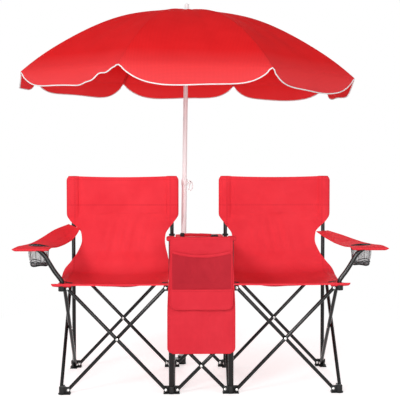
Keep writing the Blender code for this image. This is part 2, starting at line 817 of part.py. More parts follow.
def rib_pivot_height():
    """Height of the ribs' hinges, at the middle of the crown disc."""
    cloth_low = dome_height(CANOPY_HOLE_RADIUS) - CANOPY_THICKNESS / 2
    return cloth_low - SEAT_GAP - CANOPY_THICKNESS - CROWN_DISC_HEIGHT / 2


def ring_radius(ring):
    share = min(ring / CANOPY_RINGS, 1)
    return CANOPY_HOLE_RADIUS + (CANOPY_RADIUS - CANOPY_HOLE_RADIUS) * share


def make_rib(count, axis):
    """One sprung rib under a seam of the canopy, from its hinge at the crown to its tip.

    It lies on an arc inside the cloth's own arc, deep enough to clear the panels' slopes.
    """
    arc = canopy_radius_of_arc()
    tilt = math.pi / PANEL_COUNT
    depth = (CANOPY_THICKNESS / 2 + RIB_CLEARANCE + RIB_RADIUS) / math.cos(tilt)
    centre_z = CROWN_TOP - arc
    start_z = rib_pivot_height()
    points = [Vector((0, 0, 0))]
    for ring in range(1, CANOPY_RINGS + 1):
        radius = ring_radius(ring) - (RIB_TIP_INSET if ring == CANOPY_RINGS else 0)
        inside = radius * (1 - depth / arc)
        z = centre_z + math.sqrt((arc - depth) ** 2 - inside**2)
        points.append(Vector((inside - RIB_PIVOT_RADIUS, 0, z - start_z)))
    turn = math.radians(PANEL_TURN_DEG + count * 360 / PANEL_COUNT)
    place = axis.matrix_world @ Matrix.Rotation(turn, 4, "Z")
    place = place @ Matrix.Translation((RIB_PIVOT_RADIUS, 0, start_z))
    name = f"rib_{count + 1}"
    return round_rod(name, points, RIB_RADIUS, 1, black_steel(name), axis, place)


def make_canopy(axis):
    """Eight cloth panels stretched between the ribs, with a scalloped valance at the hem."""
    name = "canopy"
    half_panel = math.pi / PANEL_COUNT
    around = PANEL_COUNT * PANEL_STEPS
    first = math.radians(PANEL_TURN_DEG)
    shape = bmesh.new()
    rings = []
    for ring in range(CANOPY_RINGS + 2):
        share = min(ring / CANOPY_RINGS, 1)
        radius = ring_radius(ring)
        row = []
        for step in range(around):
            inside = (step % PANEL_STEPS) / PANEL_STEPS
            turn = first + step * 2 * math.pi / around
            chord = math.cos(half_panel) / math.cos((inside * 2 - 1) * half_panel)
            slack = 1 - (inside * 2 - 1) ** 2
            out = radius * chord - PANEL_SLACK * slack * share
            z = dome_height(radius)
            if ring > CANOPY_RINGS:
                flap = min(1, slack * VALANCE_FULLNESS)
                z -= VALANCE_NOTCH_DROP + (VALANCE_DROP - VALANCE_NOTCH_DROP) * flap
            row.append(shape.verts.new((out * math.cos(turn), out * math.sin(turn), z)))
        rings.append(row)
    for inner, outer in zip(rings, rings[1:]):
        for step in range(around):
            after = (step + 1) % around
            shape.faces.new((inner[step], outer[step], outer[after], inner[after]))
    place = axis.matrix_world.copy()
    canopy = add_object(name, mesh_from(name, shape), red_cloth(name), axis, place)
    thicken(canopy, CANOPY_THICKNESS)
    return canopy


def make_runner(axis):
    """The collar that slides on the upper pole and pushes the ribs open."""
    name = "runner"
    shape = bmesh.new()
    cylinder(shape, -RUNNER_HEIGHT / 2, RUNNER_HEIGHT / 2, RUNNER_RADIUS, POLE_SIDES)
    place = axis.matrix_world @ Matrix.Translation((0, 0, RUNNER_Z))
    runner = add_object(name, mesh_from(name, shape), black_plastic(name), axis, place)
    hole = bmesh.new()
    cylinder(hole, -RUNNER_HEIGHT, RUNNER_HEIGHT, UPPER_POLE_RADIUS + RUNNER_GAP, POLE_SIDES)
    tool = add_object("runner_bore", mesh_from("runner_bore", hole), None, axis, place)
    boolean(runner, tool, "DIFFERENCE")
    return runner


def make_frame():
    """Tubes, feet, posts, hubs and collars. Returns the brackets by kind and corner."""
    made = {}
    for (kind, corner), pins in make_crosses().items():
        maker = {"foot": make_leg, "hub": make_hub, "low_collar": make_low_collar}[kind]
        made[kind, corner] = maker(corner, pins)
    return made


def make_cloth(frame):
    """The cloth pieces and arm tubes, each on the leg or hub that it moves with."""
    for side in SIDES:
        leg = frame["foot", (side, "inner", "front")]
        hub = frame["hub", (side, "outer", "front")]
        make_sling(side, leg)
        make_arm_tube(side, hub)
        make_armrest(side, hub)
    make_cooler_table(frame["foot", ("left", "inner", "front")])


def make_umbrella(holder):
    axis = umbrella_axis()
    add_socket(holder, axis)
    make_lower_pole(axis)
    make_knob(axis)
    make_upper_pole(axis)
    make_runner(axis)
    for count in range(PANEL_COUNT):
        make_rib(count, axis)
    make_canopy(axis)


clear_scene()
frame = make_frame()
make_cloth(frame)
make_umbrella(frame["foot", ("left", "inner", "rear")])
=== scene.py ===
"""Two folding chairs joined by a cooler table, under a red umbrella, dressed over its frame."""

import math

import bmesh
import bpy
from mathutils import Matrix, Vector


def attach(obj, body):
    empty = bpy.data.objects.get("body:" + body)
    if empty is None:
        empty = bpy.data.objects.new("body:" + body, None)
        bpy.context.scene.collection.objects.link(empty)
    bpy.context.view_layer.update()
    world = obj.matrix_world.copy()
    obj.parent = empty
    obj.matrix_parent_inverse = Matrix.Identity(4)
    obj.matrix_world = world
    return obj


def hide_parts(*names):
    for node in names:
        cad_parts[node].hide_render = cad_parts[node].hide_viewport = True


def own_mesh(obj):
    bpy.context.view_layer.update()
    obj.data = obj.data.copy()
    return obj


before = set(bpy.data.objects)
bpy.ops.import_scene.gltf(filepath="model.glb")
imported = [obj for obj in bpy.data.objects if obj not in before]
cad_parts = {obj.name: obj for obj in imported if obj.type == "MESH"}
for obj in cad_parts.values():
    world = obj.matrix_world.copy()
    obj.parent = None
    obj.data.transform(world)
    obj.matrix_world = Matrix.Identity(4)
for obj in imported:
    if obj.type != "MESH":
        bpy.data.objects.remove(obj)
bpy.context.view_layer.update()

# Camera: chest high and four metres off, square to the seats, as in the photograph. It looks
# a little down and to the right.
CAMERA_AT = (-0.0945, -4.018, 0.9909)
LOOKS_DOWN = math.radians(2.5)
LOOKS_RIGHT = 0.0253


def add(name, data):
    """Puts an object in the scene."""
    made = bpy.data.objects.new(name, data)
    bpy.context.scene.collection.objects.link(made)
    return made


view = bpy.data.cameras.new("photo_view")
view.sensor_width = 36.0
view.lens = 84.22
view.shift_y = -0.0611
camera = add("photo_view", view)
camera.location = CAMERA_AT
camera.rotation_euler = (math.pi / 2 - LOOKS_DOWN, 0, -LOOKS_RIGHT)
bpy.context.scene.camera = camera
bpy.context.scene.view_settings.view_transform = "Standard"

# Studio: a white room with a main soft lamp at the front left, one low in front that reaches
# under the umbrella, and weaker ones on the right and behind. The room is seen as white.
ROOM_FILL = 0.44
PURE_WHITE = (1, 1, 1, 1)


def node(tree, kind, inputs=None, **settings):
    """Adds a shader node with its settings, and sets or links its inputs."""
    made = tree.nodes.new(kind)
    for key, value in settings.items():
        setattr(made, key, value)
    for key, value in (inputs or {}).items():
        if isinstance(value, bpy.types.NodeSocket):
            tree.links.new(value, made.inputs[key])
        else:
            made.inputs[key].default_value = value
    return made


def reckon(tree, operation, *values):
    """The result of a sum on shader values."""
    return node(tree, "ShaderNodeMath", dict(enumerate(values)), operation=operation).outputs[0]


def mixed(tree, share, first, second):
    """Two surfaces or lights in one, by the second one's share."""
    return node(tree, "ShaderNodeMixShader", {0: share, 1: first, 2: second}).outputs[0]


def seen_directly(tree):
    """1 for rays from the camera, off a mirror or through glass, and 0 for soft light."""
    path = node(tree, "ShaderNodeLightPath").outputs
    mirror = reckon(tree, "MAXIMUM", path["Is Glossy Ray"], path["Is Transmission Ray"])
    return reckon(tree, "MAXIMUM", path["Is Camera Ray"], mirror)


room = bpy.data.worlds.new("white_room")
room.use_nodes = True
tree = room.node_tree
tree.nodes.clear()
fill, walls = (
    node(tree, "ShaderNodeBackground", {"Strength": power, "Color": PURE_WHITE}).outputs[0]
    for power in (ROOM_FILL, 1.0)
)
node(tree, "ShaderNodeOutputWorld", {"Surface": mixed(tree, seen_directly(tree), fill, walls)})
bpy.context.scene.world = room


def lamp(name, at, aim, power, size):
    """A square soft box that hangs at one point and faces another."""
    light = bpy.data.lights.new(name, "AREA")
    light.energy = power
    light.size = size
    made = add(name, light)
    made.location = at
    made.rotation_euler = (Vector(aim) - Vector(at)).to_track_quat("-Z", "Y").to_euler()


lamp("soft_box_left", (-2.4, -4.0, 2.7), (0, -0.2, 0.7), 88, 1.1)
lamp("soft_box_front", (0.1, -4.9, 0.90), (0, -0.2, 0.8), 62, 1.5)
lamp("soft_box_right", (3.2, -3.2, 2.4), (0, -0.2, 0.6), 16, 1.1)
lamp("soft_box_back", (0.5, 4.6, 2.1), (0, 0, 0.9), 70, 1.6)

# Floor: pale seamless paper that keeps the object's shadow and fades to white further off.
# Its glow is only seen, and lights nothing.
FLOOR_HALF = 6.0
SHADOW_REACH = 1.5
PAPER_TONE = (0.80, 0.80, 0.80, 1)
PAPER_GLOW = 0.56


def as_mesh(name, shape):
    """Ends a bmesh and returns it as a mesh."""
    mesh = bpy.data.meshes.new(name)
    shape.to_mesh(mesh)
    shape.free()
    return mesh


ground = bmesh.new()
bmesh.ops.create_grid(ground, x_segments=1, y_segments=1, size=FLOOR_HALF)
floor = add("floor", as_mesh("floor", ground))
paper = bpy.data.materials.new("floor_paper")
paper.use_nodes = True
tree = paper.node_tree
tree.nodes.clear()
spot = node(tree, "ShaderNodeTexCoord").outputs["Object"]
away = node(tree, "ShaderNodeVectorMath", {0: spot}, operation="LENGTH").outputs["Value"]
reach = {"Value": away, "From Min": SHADOW_REACH / 2, "From Max": SHADOW_REACH}
fade = node(tree, "ShaderNodeMapRange", reach, interpolation_type="SMOOTHSTEP").outputs["Result"]
matt = node(tree, "ShaderNodeBsdfDiffuse", {"Color": PAPER_TONE}).outputs[0]
glow, white = (
    node(tree, "ShaderNodeEmission", {"Color": PURE_WHITE, "Strength": power}).outputs[0]
    for power in (PAPER_GLOW, 1.0)
)
near = node(tree, "ShaderNodeAddShader", {0: matt, 1: glow}).outputs[0]
surface = mixed(tree, seen_directly(tree), matt, mixed(tree, fade, near, white))
node(tree, "ShaderNodeOutputMaterial", {"Surface": surface})
floor.data.materials.append(paper)

# Crossing tubes: round steel tube in gloss black enamel, 14 mm thick, pinned in pairs.
# Each has a bright zinc rivet with a washer at both ends and where the pair crosses.
OUTER_POST_X = 0.5305
INNER_POST_X = 0.1135
REAR_POST_Y = -0.05
FRONT_POST_Y = -0.467
CROSS_TUBE_RADIUS = 0.007
CROSS_TUBE_ROUNDING = 0.0042
CROSS_TUBE_END = 0.0045
LANE = 0.0072
PIN_INSET = 0.0225
LOWER_PIN_Z = 0.0165
UPPER_PIN_Z = 0.4065
MIDDLE_UPPER_PIN_Z = 0.1995
RIVET_RADIUS = 0.005
WASHER_HEIGHT = 0.000704
WASHER_DEPTH = 0.0015
HEAD_RADIUS = 0.0036
HEAD_FLATNESS = 0.62
UP = Vector((0, 0, 1))
FORWARD = Vector((0, -1, 0))
SIDES = {"left": -1, "right": 1}


def surface_noise(tree, scale, detail=4.0, roughness=0.55):
    """Cloudy variation fixed to the piece, from 0 to 1."""
    spot = node(tree, "ShaderNodeTexCoord").outputs["Object"]
    look = {"Vector": spot, "Scale": scale, "Detail": detail, "Roughness": roughness}
    return node(tree, "ShaderNodeTexNoise", look).outputs["Fac"]


def between(tree, share, low, high, start=0.3, end=0.7):
    """Spreads a 0 to 1 share over a range of numbers."""
    ends = {"From Min": start, "From Max": end, "To Min": low, "To Max": high}
    return node(tree, "ShaderNodeMapRange", {"Value": share, **ends}).outputs["Result"]


def shades(tree, share, *stops):
    """Blends colours along a share: stops are (place, (red, green, blue))."""
    ramp = node(tree, "ShaderNodeValToRGB", {"Fac": share})
    points = ramp.color_ramp.elements
    while len(points) < len(stops):
        points.new(0.5)
    for point, (place, colour) in zip(points, stops):
        point.position = place
        point.color = (*colour, 1)
    return ramp.outputs["Color"]


def finish(name, **plain):
    """Starts a material with plain shader values, and returns it with its tree and shader."""
    made = bpy.data.materials.new(name)
    made.use_nodes = True
    shader = made.node_tree.nodes["Principled BSDF"]
    for key, value in plain.items():
        shader.inputs[key.replace("_", " ").title().replace("Ior", "IOR")].default_value = value
    return made, made.node_tree, shader


def wire(tree, shader, bump=None, height=0.0001, **linked):
    """Links worked-out values to the shader, and a bump of a given height in metres."""
    for key, value in linked.items():
        tree.links.new(value, shader.inputs[key.replace("_", " ").title()])
    if bump:
        relief = node(tree, "ShaderNodeBump", {"Height": bump, "Strength": 1, "Distance": height})
        tree.links.new(relief.outputs["Normal"], shader.inputs["Normal"])


def worn(name, clouds, grain, rough, stops, **plain):
    """A finish that varies in soft clouds, from one roughness and shade to another.

    clouds are a noise's scale, detail and roughness, grain a finer one's scale, detail and
    height in metres.
    """
    made, tree, shader = finish(name, **plain)
    share = surface_noise(tree, *clouds)
    colour = shades(tree, share, *stops)
    relief = (surface_noise(tree, *grain[:2]), grain[2]) if grain else ()
    wire(tree, shader, *relief, base_color=colour, roughness=between(tree, share, *rough))
    return made


# Stoved black enamel, with a deep gloss, faint ripple, dust and rubbed patches
ENAMEL = worn(
    "black_enamel",
    (34, 6, 0.65),
    (420, 2, 0.00005),
    (0.10, 0.20),
    ((0.35, (0.0028, 0.0028, 0.0031)), (0.72, (0.0075, 0.0072, 0.0070))),
    specular_ior_level=0.3,
)
# Zinc plate with a worn, slightly cloudy shine
ZINC = worn(
    "bright_zinc",
    (260, 5),
    (1500, 3, 0.00004),
    (0.22, 0.38),
    ((0.3, (0.58, 0.58, 0.57)), (0.7, (0.86, 0.86, 0.84))),
    metallic=1.0,
)


def pour(shape, part):
    """Adds a part to a piece as it is."""
    passing = as_mesh("part", part)
    shape.from_mesh(passing)
    bpy.data.meshes.remove(passing)


def join(shape, part, finish_number=0):
    """Joins a closed part to a piece, with one of the piece's finishes."""
    bmesh.ops.recalc_face_normals(part, faces=part.faces)
    for face in part.faces:
        face.material_index = finish_number
    pour(shape, part)


def along(start, end):
    """A matrix at start with Z towards end and X upwards, or sideways on an upright line."""
    z = (Vector(end) - Vector(start)).normalized()
    side = Vector((1, 0, 0)) if abs(z.z) > 0.99 else UP
    x = (side - side.dot(z) * z).normalized()
    turn = Matrix((x, z.cross(x), z)).transposed()
    return Matrix.Translation(start) @ turn.to_4x4()


def rounded(part, corners, offset, segments=3, affect="EDGES"):
    """Rounds a part's edges or corners."""
    look = {"segments": segments, "profile": 0.5, "material": -1}
    bmesh.ops.bevel(part, geom=corners, offset=offset, affect=affect, **look)


def rod(shape, start, end, radius, rounding, sides=28, finish_number=0):
    """A straight round bar between two points, with rounded rims."""
    length = (Vector(end) - Vector(start)).length
    place = along(start, end) @ Matrix.Translation((0, 0, length / 2))
    size = {"radius1": radius, "radius2": radius, "depth": length}
    part = bmesh.new()
    bmesh.ops.create_cone(part, cap_ends=True, segments=sides, matrix=place, **size)
    if rounding:
        rims = [e for f in part.faces if len(f.verts) == sides for e in f.edges]
        rounded(part, rims, rounding)
    join(shape, part, finish_number)


def rivet(shape, seat, outward):
    """A washer with a domed rivet head on it, on a face at seat, in the piece's second finish."""
    seat, outward = Vector(seat), Vector(outward)
    washer = seat + outward * WASHER_HEIGHT
    rod(shape, seat - outward * WASHER_DEPTH, washer, RIVET_RADIUS, 0.0002, 20, 1)
    dome = along(washer, washer + outward) @ Matrix.Diagonal((1, 1, HEAD_FLATNESS, 1))
    head = bmesh.new()
    bmesh.ops.create_uvsphere(head, u_segments=20, v_segments=10, radius=HEAD_RADIUS, matrix=dome)
    join(shape, head, 1)


def piece(name, shape, body, slot, *finishes, stands_for=None, sharp=35):
    """Turns a bmesh into a piece of the object that rides on a body of the frame.

    stands_for is the solid whose place it takes, and edges over sharp degrees stay crisp.
    """
    made = add(name, as_mesh(name, shape))
    for each in finishes:
        made.data.materials.append(each)
    made.data.shade_smooth()
    made.data.set_sharp_from_angle(angle=math.radians(sharp))
    if stands_for:
        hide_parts(stands_for)
    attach(made, body)
    return made


def corner_at(side, reach, depth):
    """Where a corner's post stands: on the left or right, inner or outer, front or rear."""
    x = SIDES[side] * (INNER_POST_X if reach == "inner" else OUTER_POST_X)
    return Vector((x, FRONT_POST_Y if depth == "front" else REAR_POST_Y, 0))


crosses = []
for side, sign in SIDES.items():
    outward = Vector((sign, 0, 0))
    inner_front, inner_rear = (side, "inner", "front"), (side, "inner", "rear")
    outer_front, outer_rear = (side, "outer", "front"), (side, "outer", "rear")
    depth = "rear" if side == "left" else "front"
    ends = [(end, "inner", depth) for end in SIDES]
    crosses += [
        (f"{side}_rear", inner_rear, outer_rear, -FORWARD, UPPER_PIN_Z),
        (f"{side}_inner", inner_rear, inner_front, outward, UPPER_PIN_Z),
        (f"{side}_front", inner_front, outer_front, FORWARD, UPPER_PIN_Z),
        (f"{side}_outer", outer_front, outer_rear, outward, UPPER_PIN_Z),
        (f"middle_{depth}", *ends, FORWARD, MIDDLE_UPPER_PIN_Z),
    ]

# The directions and faces of the ears that each foot, hub and collar needs
ears = {}
for name, first, second, lane, upper_z in crosses:
    one, two = corner_at(*first), corner_at(*second)
    run = (two - one).normalized()
    near, far = one + run * PIN_INSET, two - run * PIN_INSET
    low, high = UP * LOWER_PIN_Z, UP * upper_z
    for letter, start, end, side in (
        ("a", near + low, far + high, lane),
        ("b", far + low, near + high, -lane),
    ):
        lead = (end - start).normalized() * CROSS_TUBE_END
        ends = (start - lead + side * LANE, end + lead + side * LANE)
        bar = bmesh.new()
        rod(bar, *ends, CROSS_TUBE_RADIUS, CROSS_TUBE_ROUNDING)
        for pin in (start, (start + end) / 2, end):
            rivet(bar, pin + side * (LANE + CROSS_TUBE_RADIUS), side)
        title = f"{name}_cross_{letter}"
        piece(f"{title}_tube", bar, title, "frame_steel", ENAMEL, ZINC, stands_for=title)
    upper = "low_collar" if name.startswith("middle") else "hub"
    ears.setdefault(("foot", first), []).append((run, -lane))
    ears.setdefault(("foot", second), []).append((-run, lane))
    ears.setdefault((upper, second), []).append((-run, -lane))
    ears.setdefault((upper, first), []).append((run, lane))

# Legs: steel posts in gloss black enamel that stand in moulded matt black plastic feet.
# The front posts beside the cooler are fatter. Each crossing tube has its own ear on a foot.
POST_RADIUS = {"front": 0.01075, "rear": 0.008}
POST_TOP_Z = {"front": 0.600, "rear": 0.801}
POST_LOW_Z = 0.006
BRACKET_CORE_RADIUS = 0.0136
EAR_START = 0.0002
EAR_BACK = 0.0072
EAR_END = 0.0303
EAR_ROUNDING = 0.0022
EAR_RIB_HALF = 0.0016
EAR_RIB_STAND = 0.0012
FOOT_HEIGHT = 0.029
SOLE_HEIGHT = 0.0045
SOLE_HALF_WIDTH = 0.0145
SOLE_RIM = 0.0035

# Matt black nylon with a fine grained mould finish and scuffed patches
PLASTIC = worn(
    "black_plastic",
    (70, 6, 0.7),
    (1800, 3, 0.00012),
    (0.42, 0.58),
    ((0.4, (0.0062, 0.0062, 0.0066)), (0.75, (0.020, 0.0195, 0.019))),
    specular_ior_level=0.3,
)


def block(shape, low, high, rounding, turn=Matrix()):
    """A rounded bar between two opposite corners, in the axes of a matrix."""
    size = [b - a for a, b in zip(low, high)]
    middle = [(a + b) / 2 for a, b in zip(low, high)]
    place = turn @ Matrix.Translation(middle) @ Matrix.Diagonal((*size, 1))
    part = bmesh.new()
    bmesh.ops.create_cube(part, size=1, matrix=place)
    rounded(part, part.edges[:], rounding)
    join(shape, part)


def ear(shape, at, direction, face, pin_z, low, high, start=0):
    """A lug with the rivet that pins one tube. Returns its axes: X along it, Y to its face."""
    turn = Matrix((direction, face, direction.cross(face))).transposed()
    if turn.col[2].z < 0:
        turn.col[2] = -turn.col[2]
    axes = Matrix.Translation(at) @ turn.to_4x4()
    block(shape, (start, EAR_START, low), (EAR_END, EAR_BACK, high), EAR_ROUNDING, axes)
    rivet(shape, at + direction * PIN_INSET + UP * pin_z + face * EAR_BACK, face)
    return axes


for (kind, corner), pins in ears.items():
    if kind != "foot":
        continue
    depth = corner[2]
    at = corner_at(*corner)
    stands = corner[1:] != ("outer", "front")
    title = "_".join(corner) + ("_leg" if stands else "_foot")
    foot = bmesh.new()
    rod(foot, at, at + UP * SOLE_HEIGHT, BRACKET_CORE_RADIUS + SOLE_RIM, 0.0014, 32)
    rod(foot, at, at + UP * FOOT_HEIGHT, BRACKET_CORE_RADIUS, 0.0015, 32)
    for direction, face in pins:
        axes = ear(foot, at, direction, face, LOWER_PIN_Z, 0, FOOT_HEIGHT)
        low, high = FOOT_HEIGHT / 2 - EAR_RIB_HALF, FOOT_HEIGHT / 2 + EAR_RIB_HALF
        rib_end = (PIN_INSET - RIVET_RADIUS, EAR_BACK + EAR_RIB_STAND, high)
        block(foot, (0, EAR_START, low), rib_end, 0.0006, axes)
        sole_end = (EAR_END + 0.001, SOLE_HALF_WIDTH, SOLE_HEIGHT)
        block(foot, (0, -SOLE_HALF_WIDTH, 0), sole_end, 0.0016, axes)
    piece(f"{title}_foot_moulding", foot, title, "black_plastic", PLASTIC, ZINC, stands_for=title)
    if stands:
        radius = POST_RADIUS[depth]
        post = bmesh.new()
        rod(post, at + UP * POST_LOW_Z, at + UP * POST_TOP_Z[depth], radius, radius * 0.35, 32)
        piece(f"{title}_post", post, title, "frame_steel", ENAMEL)

# Hubs and collars: moulded plastic rings that slide up the posts as the frame folds.
# The outer front hubs are solid and carry the arm tubes instead.
ARM_TUBE_RADIUS = 0.009
ARM_TUBE_PLAY = 0.0002
HUB_LIP = 0.002
HUB_LIP_RADIUS = 0.0122
COLLAR_PLAY = 0.0004
COLLAR_WALL = 0.00245
COLLAR_HALF_HEIGHT = 0.0105
HUB_EAR_START = 0.004
HUB_Z = {"hub": UPPER_PIN_Z, "low_collar": MIDDLE_UPPER_PIN_Z}


def spin(part, steps, centre=(0, 0, 0)):
    """Sweeps a part's edges in a full circle round an upright axis."""
    look = {"cent": centre, "axis": UP, "angle": math.tau, "use_merge": True}
    bmesh.ops.spin(part, geom=part.edges[:], steps=steps, **look)


def ring(shape, at, low, high, inner, outer, rounding, sides=32):
    """A turned ring round an upright axis, its section swept in a full circle."""
    part = bmesh.new()
    corners = [(inner, low), (outer, low), (outer, high), (inner, high)]
    part.faces.new([part.verts.new(at + Vector((r, 0, z))) for r, z in corners])
    rounded(part, part.verts[:], rounding, 2, "VERTICES")
    bmesh.ops.delete(part, geom=part.faces[:], context="FACES_ONLY")
    spin(part, sides, at)
    bmesh.ops.remove_doubles(part, verts=part.verts, dist=rounding / 20)
    join(shape, part)


for (kind, corner), pins in ears.items():
    if kind == "foot":
        continue
    side, _, depth = corner
    at = corner_at(*corner)
    low, high = HUB_Z[kind] - COLLAR_HALF_HEIGHT, HUB_Z[kind] + COLLAR_HALF_HEIGHT
    title = f"{side}_{depth}_low_collar" if kind == "low_collar" else "_".join(corner) + "_hub"
    hub = bmesh.new()
    if corner[1:] == ("outer", "front"):
        rod(hub, at + UP * low, at + UP * high, BRACKET_CORE_RADIUS, 0.0018, 32)
        bore = ARM_TUBE_RADIUS + ARM_TUBE_PLAY
        ring(hub, at, high - HUB_LIP, high + HUB_LIP, bore, HUB_LIP_RADIUS, 0.0006)
        start = HUB_EAR_START
    else:
        bore = POST_RADIUS[depth] + COLLAR_PLAY
        ring(hub, at, low, high, bore, bore + COLLAR_WALL, 0.0007)
        start = bore + COLLAR_PLAY
    for direction, face in pins:
        ear(hub, at, direction, face, HUB_Z[kind], low, high, start)
    piece(f"{title}_moulding", hub, title, "black_plastic", PLASTIC, ZINC, stands_for=title)

# Arm tubes: gloss black steel, pushed into the outer front hubs and bent outwards at the top.
# The end is pressed flat, to lie in the armrest's front hem.
ARM_REACH = 0.170
ARM_TOP_Z = 0.543
ARM_START_Z = 0.4043
ARM_FLAT_FROM = 0.078
ARM_FLAT_TO = 0.098
ARM_FLATTENING = 0.62
# The bends, as shares of the reach outwards and of the rise
ARM_BENDS = ((0, 0), (0, 0.10), (0, 0.20), (0.05, 0.30), (0.153, 0.47), (0.29, 0.74))
ARM_BENDS += ((0.38, 0.92), (0.47, 1.02), (0.60, 1.075), (0.80, 1.08), (1.0, 1.08))


def bent_rod(shape, points, radius, sides=20, smooth=4, loop=False):
    """A round bar bent through points, swept along a smooth curve."""
    curve = bpy.data.curves.new("bend", "CURVE")
    curve.dimensions = "3D"
    curve.bevel_depth = radius
    curve.bevel_resolution = max(1, sides // 4 - 1)
    curve.resolution_u = smooth
    curve.use_fill_caps = True
    line = curve.splines.new("BEZIER")
    line.use_cyclic_u = loop
    line.bezier_points.add(len(points) - 1)
    for spot, point in zip(line.bezier_points, points):
        spot.co = point
        spot.handle_left_type = spot.handle_right_type = "AUTO"
    holder = add("bend", curve)
    bpy.context.view_layer.update()
    graph = bpy.context.evaluated_depsgraph_get()
    part = bmesh.new()
    part.from_mesh(bpy.data.meshes.new_from_object(holder.evaluated_get(graph)))
    bpy.data.objects.remove(holder)
    bmesh.ops.remove_doubles(part, verts=part.verts, dist=radius / 100)
    join(shape, part)


def ease(t):
    """A smooth step from 0 to 1."""
    t = min(max(t, 0), 1)
    return t * t * (3 - 2 * t)


def follow(table, at):
    """Reads a smooth curve through a table of (place, value)."""
    at = min(max(at, table[0][0]), table[-1][0])
    n = next(n for n, (place, _) in enumerate(table[1:]) if at <= place)
    (a, low), (b, high) = table[n], table[n + 1]
    secants = [(w - v) / (q - p) for (p, v), (q, w) in zip(table, table[1:])]

    def slope(k):
        if k in (0, len(table) - 1):
            return secants[min(k, len(secants) - 1)]
        one, two = secants[k - 1], secants[k]
        return 2 * one * two / (one + two) if one * two > 0 else 0.0

    t = (at - a) / (b - a)
    leave, arrive = slope(n) * (b - a), slope(n + 1) * (b - a)
    return low + (high - low) * ease(t) + t * (1 - t) * (leave * (1 - t) - arrive * t)


for side, sign in SIDES.items():
    at = corner_at(side, "outer", "front")
    rise = ARM_TOP_Z - ARM_START_Z
    bends = [
        at + Vector((sign * out * ARM_REACH, 0, ARM_START_Z + up * rise)) for out, up in ARM_BENDS
    ]
    arm = bmesh.new()
    bent_rod(arm, bends, ARM_TUBE_RADIUS)
    heights = [(abs(bend.x), bend.z) for bend in bends[3:]]
    for vert in arm.verts:
        out = abs(vert.co.x) - OUTER_POST_X
        pressed = ease((out - ARM_FLAT_FROM) / (ARM_FLAT_TO - ARM_FLAT_FROM))
        if pressed:
            middle = follow(heights, abs(vert.co.x))
            vert.co.z = middle + (vert.co.z - middle) * (1 - ARM_FLATTENING * pressed)
    hub = f"{side}_outer_front_hub"
    piece(f"{side}_arm_tube_bar", arm, hub, None, ENAMEL, stands_for=f"{side}_arm_tube")

# Slings: each chair's seat and back, one length of coated red polyester under tension.
# The back slips over the rear posts in sewn sleeves, and the seat's corners are tied to the hubs.
CHAIR_CENTRE_X = (OUTER_POST_X + INNER_POST_X) / 2
POST_HALF = (OUTER_POST_X - INNER_POST_X) / 2
SEAT_Z = 0.4188
SEAT_FRONT_Y = -0.481
BACK_LOW_Y = -0.085
BACK_TOP_Y = -0.0598
BACK_UPRIGHT_Z = 0.545
BACK_TOP_Z = 0.8155
CREASE_RADIUS = 0.055
# Places along the cloth, from the front hem
SEAT_RUN = 0.341
BACK_RUN = SEAT_RUN + CREASE_RADIUS * math.pi / 2
SLING_RUN = BACK_RUN + BACK_TOP_Z - SEAT_Z - CREASE_RADIUS
FRONT_HEM_RUN = -0.006
SEAT_SPLIT_RUN = 0.296
WAIST_RUN = 0.4986
SLEEVE_RUN = 0.6066
SLIT_RUN = 0.084
SEAT_SAG = 0.036
FRONT_LIFT = 0.0065
BACK_BOW = 0.016
SLIT_RIM_RADIUS = 0.0019
TIE_RADIUS = 0.0026
SLING_THICKNESS = 0.0024
SLEEVE_THICKNESS = 0.00192
CORNER_FOLD_X = 0.2085
CORNER_FOLD_HALF = 0.0385
# Shares of the width that are left when folded, and how far from the post the seat folds to
SEAT_KEPT = 0.2
BACK_KEPT = 0.27
SEAT_FOLD_OFF = 0.0239
# Half widths by length of cloth from the front hem, on the outer and on the inner side
OUTER_EDGE = ((-0.006, 0.240), (0.0, 0.248), (0.02, 0.245), (0.06, 0.237), (0.12, 0.233))
OUTER_EDGE += ((0.18, 0.2345), (0.26, 0.2390), (0.33, 0.2460), (0.363, 0.2475), (0.388, 0.2420))
OUTER_EDGE += ((0.42, 0.2110), (0.455, 0.1865), (0.4986, 0.1715), (0.531, 0.1755))
OUTER_EDGE += ((0.558, 0.1970), (0.5804, 0.2210), (0.6066, 0.2355), (0.62, 0.236))
INNER_EDGE = ((-0.006, 0.194), (0.0, 0.197), (0.12, 0.195), (0.34, 0.198), (0.40, 0.197))
INNER_EDGE += ((0.44, 0.190), (0.464, 0.184), (0.4986, 0.179), (0.5256, 0.1822), (0.547, 0.195))
INNER_EDGE += ((0.569, 0.212), (0.588, 0.2265), (0.6066, 0.2355), (0.62, 0.236))
TOP_CORNER = ((0.75, 0.236), (0.7605, 0.2335), (0.7656, 0.229))
OUTER_EDGE += TOP_CORNER
INNER_EDGE += TOP_CORNER
# Centres across the back and depths of the folds that hang from its waist
WAIST_FOLDS = ((-0.036, 0.0052), (0.003, 0.0042), (0.05, 0.0034), (-0.09, 0.0034))
SLEEVE_INNER = 0.1855
SLEEVE_DEPTH = 0.0102
SLEEVE_CLOSING = 0.012
PANEL_SET_BACK = 0.0093
STITCH_LENGTH = 0.0042
STITCH_SHADE = 0.84


def bump_at(value, centre, width):
    """A soft ridge that is 1 at its centre."""
    return math.exp(-(((value - centre) / width) ** 2))


def edge_of(across):
    """The half widths on one side of the sling."""
    return OUTER_EDGE if across > 0 else INNER_EDGE


def sleeve_half(x, edge, run):
    """Half the depth of the flat sleeve round a post, from its seam to the sling's edge."""
    off = 2 * (abs(x) - SLEEVE_INNER) / (follow(edge, run) - SLEEVE_INNER) - 1
    closing = max(0, (run - SLING_RUN + SLEEVE_CLOSING) / SLEEVE_CLOSING)
    return SLEEVE_DEPTH * math.sqrt(max(0, 1 - off**2) * max(0, 1 - closing**2))


